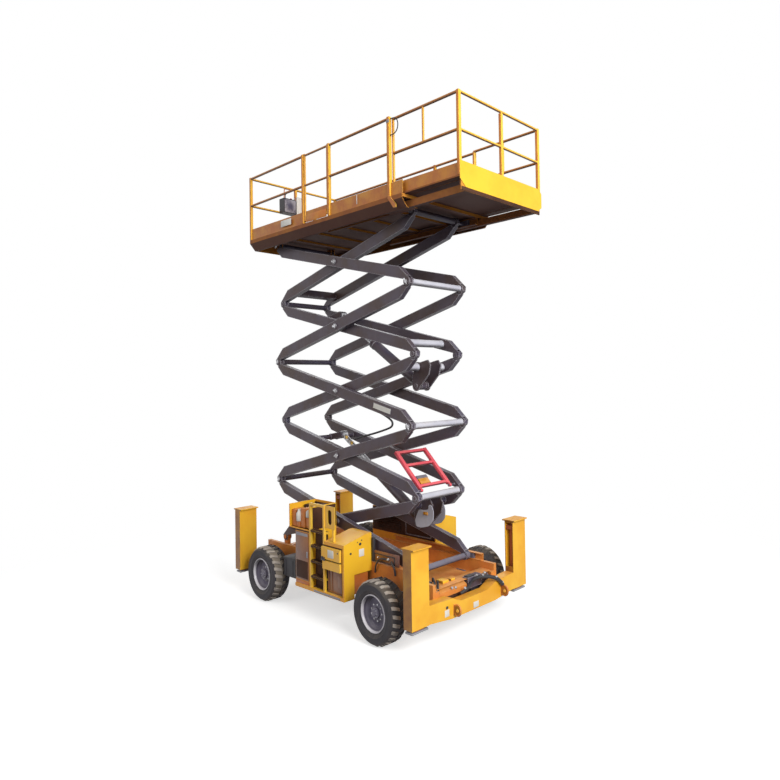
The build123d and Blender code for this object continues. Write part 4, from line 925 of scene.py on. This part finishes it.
# %% [markdown]
# ## Hose, fittings and the blank plate on the third arm
# A hydraulic hose leaves the lower cylinder's eye and stands up in a stiff bow beside the arm.
# It is fixed at both ends, so it is a pipe on a smooth curve.  Two brass elbows sit on the rod.
# The arm also carries a white plate, left blank, on a thin dark backing.

# %% Hose, elbows and plate
for name, finish, low, high in (
    ("blank_plate_backing", dark, (0.4, -0.5645, 0.062), (0.8, -0.5605, 0.146)),
    ("blank_plate", white_plate, (0.408, -0.5665, 0.068), (0.792, -0.5635, 0.14)),
):
    plate = bmesh.new()
    add_box(plate, low, high, 0.001, 1)
    place(plate, frame_matrix(3, False))
    finish_piece(plate, name, "outer_stack_3", finish)
pipe_piece("hose_bow", hose_rubber, [(0.015, 12, [
    (-0.02, -0.3, 2.575), (0.2, -0.3, 2.63), (0.5, -0.305, 2.69), (0.76, -0.31, 2.755),
    (0.905, -0.315, 2.8), (0.925, -0.32, 2.87), (0.86, -0.325, 2.92), (0.7, -0.327, 2.985),
    (0.56, -0.33, 3.035),
])], "outer_stack_2")
EYE_X, EYE_Z = -0.7354, 2.5967                # eye of the lower rod
ROD_DROP = 0.62                               # how the rod falls away from it
fittings = bmesh.new()
for back in (0.2, 0.34):
    base = at(EYE_X + back, -0.085, EYE_Z - ROD_DROP * back + 0.07)
    add_pin(fittings, base, base + Vector((0, 0, 0.045)), 0.02, 6, 0.002)
    add_pin(fittings, base + Vector((-0.03, 0, 0.035)), base + Vector((0.03, 0, 0.035)), 0.014, 12, 0.002)
finish_piece(fittings, "brass_elbows", "rod_lower", brass)
print("hoses", 1, "fittings", 2)

# %% [markdown]
# ## The safety prop
# The red prop is a flat-bar frame: two legs and three cross bars, swung down to hold the scissor
# up while it is serviced.  Its legs and bars get flat faces with rounded edges.  An amber block
# and its grey cover lie between the legs.

# %% Prop faces
PROP_LEAN, PROP_LONG, HUB = 43.0, 0.74, 0.0252
BAR_LONG = 0.046
prop_low, prop_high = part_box("lift_prop")
prop_turn = (Matrix.Translation((prop_high.x - HUB, 0.0, prop_low.z + HUB))
             @ Matrix.Rotation(radians(180.0 + PROP_LEAN), 4, "Y"))
legs = [((0.032, y0, -0.026), (PROP_LONG + 0.003, y0 + 0.0545, 0.026)) for y0 in (-0.3025, 0.248)]
for share in (0.08, 0.64, 1.0):
    end = share * (PROP_LONG - 0.036) + 0.038
    legs.append(((end - BAR_LONG, -0.25, -0.0205), (end, 0.25, 0.0205)))
for name, finish, round_by, boxes in (
    ("prop_legs_and_bars", red, 0.006, legs),
    ("prop_block", amber, 0.005, [((0.1, -0.215, -0.014), (0.2, -0.03, 0.014))]),
    ("prop_block_cover", mid_grey, 0.005, [((0.204, -0.215, -0.003), (0.262, -0.01, 0.012))]),
):
    block = bmesh.new()
    for low, high in boxes:
        add_box(block, low, high, round_by)
    place(block, prop_turn)
    finish_piece(block, name, "prop", finish)
print("prop box", [round(v, 3) for v in (*prop_low, *prop_high)])

# %% [markdown]
# ## The near pod: door, bin, steps and boxes
# The near side carries a cabinet with a glossy door, a bin of odds and ends above it, the
# steps, and two control boxes with plain white plates.  Folded sheet could be bent from a flat
# outline, but each of these is a shallow tray or panel with a rolled edge, so a box whose edges
# are bevelled is enough.  Where the steps and the guard look into the machine, and at the back
# of the bin, dark sheets and boxes stand for the shade there: they are painted shade.

# %% Panels, liners and the bin's contents
# Dark brown for places in shade inside the machine, a painted shade; the control boxes' seams use it as dark
# joints.
shadow_paint = worn_paint(
    "shade_and_seam_paint", "dark_paint", (82, 54, 40), (56, 38, 32), (104, 76, 54), (90, 70, 56), dusty=0.3,
    streaky=0.2, rough=0.6, wear=0.2, coat=0.0, side_shade_amount=0.4, shine=0.12)
# The door's brown, darker and more purple in patches, stands for yellow paint in shade with a dark reflection:
# painted shade and a painted reflection.
shaded_door_brown = worn_paint(
    "door_shaded_enamel", "yellow_paint", (160, 104, 58), (104, 68, 62), (150, 110, 80), (90, 70, 60), dusty=0.3,
    streaky=0.12, rough=0.34, wear=0.5, coat=0.2, side_shade_colour=(122, 78, 56), side_shade_amount=0.4)
SHELF_Z = 1.304                               # floor of the bin
LINER_Y = -1.0945                             # face of the cabinet
# Dark sheets inside the bin: painted shade.
box_piece("bin_shadow_sheets", shadow_paint, [
    (-0.585, -0.075, -0.66, -0.65, 1.3, 1.61), (-0.0595, -0.051, -1.06, -0.64, 1.3, 1.628),
    (-0.585, -0.075, -1.07, -0.66, 1.294, SHELF_Z), (-0.598, -0.066, -1.0895, -1.07, 1.268, 1.292),
])
box_piece("bin_crates", deck_orange, [
    (-0.575, -0.47, -1.055, -0.88, SHELF_Z, 1.56), (-0.455, -0.36, -1.06, -0.84, SHELF_Z, 1.5),
    (-0.35, -0.24, -1.05, -0.76, SHELF_Z, 1.59), (-0.22, -0.1, -1.04, -0.72, SHELF_Z, 1.47),
], 0.01)
# Dark boxes at the back of the bin: painted shade.
box_piece("bin_shadow_boxes", shadow_paint, [
    (-0.56, -0.36, -0.86, -0.7, SHELF_Z, 1.6), (-0.33, -0.11, -0.74, -0.665, SHELF_Z, 1.61),
], 0.012)
box_piece("cabinet_door", shaded_door_brown, [(-0.418, -0.078, -1.0955, -1.0885, 0.56, 1.262)], 0.006)
# The lower part of the door is painted darker: painted shade and a painted reflection.
box_piece("door_lower_shade", shadow_paint, [
    (-0.398, -0.098, -1.0985, LINER_Y, 0.585, 0.84),
], 0.0015)
pots = bmesh.new()
for x, y, z, profile in (
    (-0.395, -1.035, 1.395, [(0.0, 0.0), (0.044, 0.0), (0.05, 0.01), (0.05, 0.12), (0.03, 0.15),
                             (0.03, 0.175), (0.0, 0.175)]),
    (-0.18, -1.02, 1.47, [(0.0, 0.0), (0.036, 0.0), (0.04, 0.008), (0.04, 0.08), (0.024, 0.105),
                             (0.0, 0.105)]),
):
    add_turned(pots, profile, axis_matrix(at(x, y, z), at(x, y, z + 0.1)), 24)
finish_piece(pots, "bin_pots", "chassis", white_plate, 40)
# The strip along the door's top is a painted highlight; the short upright is its handle.
box_piece("cabinet_door_trim", rim_paint, [
    (-0.4, -0.1, -1.0975, LINER_Y, 1.205, 1.245), (-0.12, -0.096, -1.108, LINER_Y, 0.9, 0.99),
])
# The cabinet's foot wears the orange painted shade.
box_piece("cabinet_foot", orange_shade_paint, [(-0.415, -0.08, LINER_Y, -1.0885, 0.5, 0.548)])
# Dark sheets behind the steps and behind the guard's window: painted shade.
box_piece("ladder_shadow_sheet", shadow_paint, [
    (-0.012, 0.3, -1.021, -1.012, 0.5, 1.285), (-0.012, 0.3, -1.06, -1.021, 0.494, 0.506),
])
box_piece("window_shadow_sheet", shadow_paint, [(0.372, 0.532, -1.062, -1.054, 1.405, 1.7)])
print("pieces so far", len(made))

# %% [markdown]
# ### Step treads
# Each step has a grip tread in dark painted shade.  The grip is a field of small raised bars.
# Displacement would need a fine mesh, so each bar is a cut box, and a loop lays them along the tread.

# %% Grip treads
STEP_X = (-0.01, 0.298)
STEP_TALL = 0.026
GRIP_BARS = 9


def add_grip(piece_mesh, x0, x1, y0, y1, z):
    """A thin tread with a row of raised bars across it."""
    add_box(piece_mesh, at(x0, y0, z), at(x1, y1, z + 0.006), 0.002, 1)
    pitch = (x1 - x0) / GRIP_BARS
    for index in range(GRIP_BARS):
        left = x0 + (index + 0.25) * pitch
        right = left + 0.5 * pitch
        add_box(piece_mesh, at(left, y0 + 0.008, z + 0.005), at(right, y1 - 0.008, z + 0.01), 0.001, 1)


treads = bmesh.new()
for step_z in (0.64, 0.86, 1.08, 1.3):
    top_z = step_z + STEP_TALL
    add_grip(treads, *STEP_X, -1.098, -1.022, top_z)
    add_box(treads, at(STEP_X[0], -1.1025, step_z + 0.002), at(STEP_X[1], -1.099, top_z), 0.001, 1)
# The treads wear the dark painted shade.
finish_piece(treads, "step_treads", "chassis", shadow_paint)
print("treads", 4)

# %% [markdown]
# ### Control boxes, tank and latches
# The boxes have knobs, latches and white plates with nothing on them.  The tank beside them is
# boxed in by ribbed panels.  A rib is the same rounded box, long and thin.

# %% Control boxes, tank and latches
BOX_Y = -1.1275                               # outer face of the ground control box
WING_X = 0.7895                               # outer face of the pod's end wing
TANK_Z = (0.52, 0.8)
box_piece("control_plates", white_plate, [
    (0.452, 0.59, -1.1305, BOX_Y, 1.01, 1.118), (0.792, 0.7945, -0.848, -0.762, 1.008, 1.112),
], 0.001)
box_piece("control_seams", shadow_paint, [
    (0.29, 0.752, -1.106, -1.0985, 1.148, 1.166), (0.3, 0.73, -1.112, -1.1, 0.954, 0.974),
    (0.745, 0.752, -1.104, -1.0985, 0.495, 1.15),
])
knobs = bmesh.new()
for x, z, long, radius, chamfer in (
    (0.33, 0.995, 0.0185, 0.016, 0.003), (0.372, 0.992, 0.0125, 0.012, 0.002),
    (0.69, 1.1, 0.0085, 0.01, 0.002),
):
    add_pin(knobs, at(x, BOX_Y, z), at(x, BOX_Y - long, z), radius, 16, chamfer)
add_box(knobs, at(0.3, -1.142, 0.952), at(0.392, BOX_Y, 0.982), 0.005)
finish_piece(knobs, "control_knobs", "chassis", plastic)
pin_piece("end_latches", plastic, [
    ((WING_X, y, z), (WING_X + 0.0075, y, z), radius, 18, 0.002) for y, z, radius in
    ((-0.827, 1.184, 0.02), (-0.988, 1.081, 0.016), (-0.8, 1.232, 0.009), (-0.87, 1.215, 0.008))
])
# The tank's side panels wear the orange painted shade.
box_piece("tank_panels", orange_shade_paint, [
    (0.7505, 0.7555, -1.05, -0.672, 0.495, 0.826), (0.352, 0.748, -1.052, -0.67, 0.8305, 0.836),
], 0.002)
# The tank's front wears the door's painted shade brown.
box_piece("tank_front", shaded_door_brown, [
    (0.356, 0.744, -1.0625, -1.0555, 0.5, 0.822), (0.38, 0.395, -1.07, -1.062, *TANK_Z),
    (0.455, 0.47, -1.07, -1.062, *TANK_Z), (0.6, 0.7, -1.069, -1.062, 0.6, 0.76),
])
box_piece("tray_edge", rim_paint, [(0.06, 0.7, -1.1035, -1.1005, 0.448, 0.476)], 0.002)
print("boxes and latches done")

# %% [markdown]
# ## Gear along the near rail
# Ahead of the cabinet hangs a black battery box on the rail, with a small orange lamp above it
# and hoses that rise behind the bin.  Behind the hood a valve cover stands on the rail, with a
# black frame, a bright fitting and hoses that run down inside.

# %% Battery box, lamp, valve cover and hoses
RAIL_Y = -0.626                               # face of the valve cover
box_piece("battery_box", plastic, [
    (-0.95, -0.615, -0.985, -0.636, 0.47, 0.77), (-0.958, -0.607, -0.993, -0.634, 0.735, 0.762),
    (-0.9, -0.88, -0.992, -0.984, 0.48, 0.735), (-0.7, -0.68, -0.992, -0.984, 0.48, 0.735),
], 0.01)
box_piece("rail_lamp", amber, [(-0.965, -0.79, -0.69, -0.61, 0.905, 0.965)], 0.012)
# The valve cover wears the door's painted shade brown.
box_piece("valve_cover", shaded_door_brown, [(0.8, 1.38, -0.627, -0.606, 0.903, 1.065)], 0.006)
box_piece("valve_frame", plastic, [
    *((x0, x1, -0.634, -0.6265, z0, z1) for x0, x1, z0, z1 in (
        (0.85, 1.3, 0.918, 0.932), (0.85, 1.3, 1.018, 1.032), (0.85, 0.866, 0.918, 1.032),
        (1.284, 1.3, 0.918, 1.032))),
    (0.8, 0.85, -0.64, -0.606, 0.903, 1.24),
], 0.003)
pin_piece("valve_fittings", steel, [
    ((1.17, RAIL_Y, 0.985), (1.17, -0.652, 0.985), 0.02, 6, 0.003),
    ((1.17, -0.65, 0.985), (1.17, -0.662, 0.985), 0.012, 16, 0.002),
    ((0.93, RAIL_Y, 0.975), (0.93, -0.64, 0.975), 0.012, 6, 0.002),
])
pipe_piece("rail_hoses", hose_rubber, [
    *((0.014, 12, [
        (-0.64 - shift, -0.65, 0.88), (-0.64 - shift, -0.65, 1.02), (-0.66 - shift, -0.645, 1.18),
        (-0.625, -0.642, 1.29 + shift), (-0.59, -0.64, 1.33 + shift),
    ]) for shift in (0.0, 0.045, 0.09)),
    (0.013, 12, [(1.15, -0.655, 0.985), (1.06, -0.668, 1.0), (0.96, -0.668, 0.93),
                 (0.9, -0.655, 0.82), (0.88, -0.64, 0.76)]),
    (0.013, 12, [(1.23, -0.636, 0.96), (1.29, -0.655, 0.93), (1.33, -0.655, 0.86),
                 (1.32, -0.64, 0.79)]),
])
print("rail gear done")

# %% [markdown]
# ## The far pod's inner face
# The far pod turns a louvred steel screen to the scissor, so that the engine behind it can
# breathe.  Each louvre is a bar turned on its length.  The screen is painted dark, a painted
# shade on the pod's inner face.

# %% Louvred screen
SLATS, SLAT_PITCH, SLAT_TURN = 9, 0.038, 0.6
screen = bmesh.new()
add_box(screen, at(-0.785, 0.6185, 0.905), at(0.765, 0.6275, 1.3), 0.003)
for index in range(SLATS):
    slat = add_box(screen, (-0.31, -0.004, -0.016), (0.31, 0.004, 0.016), 0.002, 1)
    middle = Matrix.Translation(at(-0.35, 0.6165, 0.95 + index * SLAT_PITCH))
    place(screen, middle @ Matrix.Rotation(SLAT_TURN, 4, "X"), slat)
# The screen's dark finish is painted shade.
finish_piece(screen, "engine_screen", "chassis", shadow_paint)
box_piece("screen_frame", dark, [(x0, x1, 0.61, 0.619, z0, z1) for x0, x1, z0, z1 in (
    (0.08, 0.7, 0.93, 0.95), (0.08, 0.7, 1.24, 1.26), (0.08, 0.1, 0.93, 1.26),
    (0.68, 0.7, 0.93, 1.26),
)])
print("screen done")

# %% [markdown]
# ## The near end: plates, hoses and the unit on the deck
# On the cross beam are two white plates with nothing on them, and a black rubber stop.  A thick
# hose leaves the hydraulic unit and runs down to the far eye, clamped by bright bolts.  Thinner
# hoses loop from the end deck, which has a plate, two small boxes and an apron of its own.  The
# eyes are ringed by a welded band, and every jack has a pale foot pad.

# %% End plates, hoses and bolts
BEAM_X = 2.2085                               # outer face of the cross beam
DECK_Z = 0.69
EYE_Y = (-0.395, 0.56)
box_piece("beam_plates", white_plate, [
    (BEAM_X, 2.211, -0.57, -0.49, 0.395, 0.485), (BEAM_X, 2.211, -0.03, 0.075, 0.36, 0.44),
], 0.001)
pin_piece("beam_stop", plastic, [((2.206, -0.529, 0.512), (2.216, -0.529, 0.512), 0.02, 18, 0.003)])
rings = bmesh.new()
for y in EYE_Y:
    add_box(rings, at(BEAM_X, y - 0.019, 0.38), at(2.213, y + 0.019, 0.52), 0.002)
    turns = [pi * step / 9 for step in range(-7, 8)]
    add_pipe(rings, [(2.268 + 0.06 * cos(turn), y, 0.45 + 0.07 * sin(turn)) for turn in turns], 0.0135)
finish_piece(rings, "tie_eye_rings", "chassis", deck_orange, 40)
pipe_piece("end_hoses", hose_rubber, [
    (0.026, 16, [(2.03, 0.14, 0.65), (2.08, 0.18, 0.7), (2.15, 0.29, 0.7), (2.215, 0.4, 0.67),
                 (2.245, 0.49, 0.61), (2.245, 0.545, 0.535)]),
    (0.022, 16, [(2.034, 0.11, 0.64), (2.08, 0.05, 0.63), (2.11, -0.05, 0.6), (2.09, -0.16, 0.57)]),
    (0.014, 12, [(1.7, -0.3, 0.7), (1.78, -0.38, 0.79), (1.88, -0.44, 0.77),
                 (1.96, -0.5, 0.71), (2.03, -0.55, 0.62)]),
    (0.014, 12, [(1.76, -0.26, 0.7), (1.86, -0.36, 0.745), (1.95, -0.44, 0.725),
                 (2.02, -0.5, 0.64)]),
])
pin_piece("end_bolts", steel, [
    ((x - 0.006, y, z - 0.014), (x + 0.01, y, z + 0.012), 0.02, 6, 0.004) for x, y, z in (
        (2.03, 0.23, 0.706), (2.03, 0.4, 0.7), (2.125, 0.255, 0.722), (2.225, 0.43, 0.672),
        (2.098, -0.08, 0.622), (2.02, -0.25, 0.655), (2.016, -0.18, 0.64), (2.247, 0.53, 0.575))
])
box_piece("deck_plate", deck_orange, [(1.804, 2.004, -0.56, 0.56, 0.6895, 0.6935)], 0.001)
box_piece("deck_gear", frame_yellow, [
    (1.76, 1.9, -0.3, -0.18, DECK_Z, 0.735), (1.82, 1.9, -0.14, -0.06, DECK_Z, 0.725),
], 0.014)
box_piece("deck_apron", shadow_paint, [(2.012, 2.02, -0.58, 0.06, 0.486, 0.568)], 0.003)
for corner in CORNERS:
    low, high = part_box("jack_" + corner)
    pad = bmesh.new()
    add_box(pad, low - Vector((0.002, 0.002, 0.001)), (high.x + 0.002, high.y + 0.002, low.z + 0.024), 0.004)
    finish_piece(pad, "foot_pad_" + corner, "jack_" + corner, pale)
box_piece("deck_valve", plastic, [
    (1.755, 1.86, -0.56, -0.45, DECK_Z, 0.76), (1.935, 2.025, 0.07, 0.2, 0.705, 0.728),
], 0.008)
print("end gear done")

# %% [markdown]
# ## Posts of the guard rail
# The posts that take the load are square tube, and the rails are round.  The corner posts of
# the rolling deck, its middle post, the gate posts and the third post get square sleeves, and
# the near ones of the platform a dark cap.  A latch pin and a bent wire pull sit on the third
# post.  The gate has a toe board of its own, and the rolling deck a dark strip along its lower
# edge, which is painted shade.

# %% Square posts, caps, latch and pull
TOP_Z = 7.013
POST_Z = TOP_Z + 0.003
EXT_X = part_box("extension_rails")[1].x - ORIGIN_X
EXT_POST_Z = 5.965
THIRD_X = 1.568                               # middle of the third post
GATE_POSTS = (-0.499, 0.182)
box_piece("extension_posts", rail_yellow, [
    (EXT_X - 0.044, EXT_X + 0.0012, -0.8175, -0.7725, EXT_POST_Z, TOP_Z),
    (EXT_X - 0.044, EXT_X + 0.0012, 0.7725, 0.8175, EXT_POST_Z, TOP_Z),
    (EXT_X - 0.043, EXT_X + 0.0008, -0.0215, 0.0215, EXT_POST_Z, TOP_Z - 0.04),
], 0.005, "extension")
box_piece("platform_posts", rail_yellow, [
    (THIRD_X - 0.0255, THIRD_X + 0.0255, -0.8685, -0.8205, 5.94, POST_Z),
    (THIRD_X - 0.024, THIRD_X + 0.024, 0.822, 0.862, 5.94, POST_Z),
    (GATE_POSTS[0] - 0.0235, GATE_POSTS[0] + 0.0215, -0.8675, -0.8225, 5.945, POST_Z),
    (GATE_POSTS[1] - 0.0215, GATE_POSTS[1] + 0.0235, -0.8675, -0.8225, 5.945, POST_Z),
], 0.005, "platform")
box_piece("gate_toe_board", rail_yellow, [(-0.426, 0.12, -0.856, -0.848, 5.944, 6.06)], 0.002, "gate")
# A dark strip along the rolling deck's lower edge: painted shade.
box_piece("extension_lower_shade", shadow_paint, [
    (EXT_X - 0.0005, EXT_X + 0.0015, -0.79, 0.79, 5.7815, 5.8265),
], 0.0005, "extension")
box_piece("post_caps", dark, [
    (x - 0.018, x + 0.018, -0.861, -0.829, TOP_Z + 0.002, TOP_Z + 0.0055) for x in (*GATE_POSTS, THIRD_X)
], 0.0015, "platform")
pipe_piece("wire_pull", hose_rubber, [(0.007, 10, [
    (1.6, -0.845, 6.98), (1.7, -0.85, 6.985), (1.765, -0.85, 6.9), (1.745, -0.85, 6.79),
    (1.65, -0.848, 6.75), (1.595, -0.845, 6.765),
])], "platform")
box_piece("third_post_latch", dark, [
    (1.534, 1.547, -0.862, -0.83, 6.2, 6.86), (1.54, 1.6, -0.8705, -0.866, 6.93, 6.975),
], 0.003, "platform")
box_piece("toe_board_plate", white_plate, [
    (-1.12, -0.82, -0.8705, -0.8685, 5.985, 6.085), (0.87, 0.885, -0.8705, -0.8685, 5.97, 6.1),
], 0.001, "platform")
print("posts", 7, "extension end", round(EXT_X, 3))

# %% [markdown]
# ## The platform's control box
# The box hangs on the end rails with a pale back plate beside it, a joystick under a guard bar
# and a red stop button.  All are turned or bevelled shapes, small but seen close.

# %% Control box fittings
box_low, box_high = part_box("platform_control_box")
X0, X1 = box_low.x - ORIGIN_X, box_high.x - ORIGIN_X
Y0, Y1, Z0, Z1 = box_low.y, box_high.y, box_low.z, box_high.z
STICK_X, STICK_Y = (X0 + X1) / 2, (Y0 + Y1) / 2 - 0.05
BUTTON_Y = STICK_Y + 0.11
BAR_X = X1 - 0.01
box_piece("control_back_plate", white_plate, [
    (X0 + 0.06, X1 + 0.014, Y1 + 0.004, Y1 + 0.11, Z0 - 0.03, Z1 + 0.06),
], body="platform")
box_piece("control_face", dark, [
    (X1 + 0.0005, X1 + 0.006, Y0 + 0.012, Y1 - 0.012, Z0 + 0.015, Z1 - 0.015),
], 0.002, "platform")
for name, finish, y, pins in (
    ("joystick", plastic, STICK_Y, (
        (-0.001, 0.016, 0.03, 24, 0.008), (0.012, 0.085, 0.008, 16, 0.002),
        (0.075, 0.125, 0.017, 20, 0.008))),
    ("stop_button", red, BUTTON_Y, ((-0.001, 0.022, 0.012, 16, 0.002), (0.02, 0.036, 0.02, 24, 0.006))),
):
    pin_piece(name, finish, [
        ((STICK_X, y, Z1 + low), (STICK_X, y, Z1 + high), *form) for low, high, *form in pins
    ], 40, "platform")
pipe_piece("joystick_guard", orange_shade_paint, [(0.008, 10, [(BAR_X, y, Z1 + lift) for y, lift in (
    (Y0 + 0.01, -0.01), (Y0 + 0.01, 0.15), (Y0 + 0.03, 0.165),
    (Y1 - 0.03, 0.165), (Y1 - 0.01, 0.15), (Y1 - 0.01, -0.01),
)])], "platform")
print("control box fittings", 5)

# %% [markdown]
# ## Floor, backdrop and light
# A pale floor and a white world stand for a studio's paper sweep.  Seen directly or in a
# reflection the floor is nearly white and still takes the machine's shadow, and further out it
# fades into the white of the world.  To the light that bounces off it, it is a darker grey, as
# grass or tarmac would be, so the undersides stay in shade.

# %% Floor
def seen_directly(tree):
    """One for rays that reach a surface from the camera, by way of glass or mirrors or not."""
    rays = new_node(tree, "LightPath").outputs
    seen = math_node(tree, "MAXIMUM", rays["Is Camera Ray"], rays["Is Transmission Ray"])
    return math_node(tree, "MAXIMUM", seen, rays["Is Glossy Ray"])


def mix_shaders(tree, factor, first, second):
    """Two shaders mixed by a factor; returns the output."""
    return new_node(tree, "MixShader", {0: factor, 1: first, 2: second}).outputs[0]


WHITE_FROM, WHITE_TO = 3.5, 8.0               # where the floor fades, from the middle
FLOOR_HALF = 60.0
floor_mesh = bmesh.new()
bmesh.ops.create_grid(floor_mesh, x_segments=4, y_segments=4, size=FLOOR_HALF)
floor_data = bpy.data.meshes.new("floor")
floor_mesh.to_mesh(floor_data)
floor_mesh.free()
floor = add_object("floor", floor_data)
floor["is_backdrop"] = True
floor_material, floor_tree, floor_shader = new_material("pale_floor", "none")
fill(floor_tree, floor_shader, {
    "Base Color": (0.16, 0.16, 0.16, 1.0), "Roughness": 0.9, "Specular IOR Level": 0.1,
})
paper = new_node(floor_tree, "BsdfDiffuse", {"Color": (0.8, 0.8, 0.8, 1.0)})
glow = new_node(floor_tree, "Emission", {"Strength": 0.55})
white = new_node(floor_tree, "Emission", {"Strength": 1.0})
near_floor = new_node(floor_tree, "AddShader", {0: paper.outputs[0], 1: glow.outputs[0]})
reach = new_node(floor_tree, "VectorMath", {0: object_spot(floor_tree)})
reach.operation = "LENGTH"
fade = ramp(floor_tree, reach.outputs["Value"], WHITE_FROM, WHITE_TO)
far_floor = mix_shaders(floor_tree, fade, near_floor.outputs[0], white.outputs[0])
whole_floor = mix_shaders(floor_tree, seen_directly(floor_tree), floor_shader.outputs[0], far_floor)
fill(floor_tree, floor_tree.nodes["Material Output"], {"Surface": whole_floor})
floor_data.materials.append(floor_material)

# %% [markdown]
# ### World and lamps
# The world is white where it is seen, and a weaker white where it lights the machine.  The main
# lamp is large and stands off the end where the deck rolls out, so faces towards it are bright
# and the long sides fall into soft shade.  Two weaker lamps open that shade a little, one on the
# near side and one behind the machine.

# %% World and lamps
world = bpy.data.worlds.new("studio")
bpy.context.scene.world = world
world.use_nodes = True
world_tree = world.node_tree
backdrop = world_tree.nodes["Background"]
in_view = new_node(world_tree, "Background")
for node, strength in ((backdrop, 0.34), (in_view, 1.0)):
    fill(world_tree, node, {"Color": (1.0, 1.0, 1.0, 1.0), "Strength": strength})
blend = mix_shaders(world_tree, seen_directly(world_tree), backdrop.outputs[0], in_view.outputs[0])
fill(world_tree, world_tree.nodes["World Output"], {"Surface": blend})


def add_lamp(name, stand, aim, width, power, colour=(1.0, 1.0, 1.0)):
    """A square area lamp aimed at a point."""
    data = bpy.data.lights.new(name, "AREA")
    data.shape = "SQUARE"
    data.size = width
    data.energy = power
    data.color = colour
    lamp = add_object(name, data)
    facing = (Vector(stand) - aim).to_track_quat("Z", "Y").to_matrix().to_4x4()
    lamp.matrix_world = Matrix.Translation(stand) @ facing


MIDDLE = at(0.0, 0.0, 3.2)
add_lamp("main_lamp", (14.5, -3.0, 8.5), MIDDLE, 7.0, 2250.0, (1.0, 0.99, 0.97))
add_lamp("side_lamp", (-2.0, -14.0, 9.0), MIDDLE, 8.0, 420.0)
add_lamp("back_lamp", (-13.0, 9.0, 9.0), MIDDLE, 8.0, 420.0)
bpy.context.scene.view_settings.view_transform = "Standard"
print("lamps", len(bpy.data.lights))

# %% The visual box and the pieces made
low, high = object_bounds()
print("visual", [round(v, 4) for v in (*low, *high)])
print("pieces made", len(made))
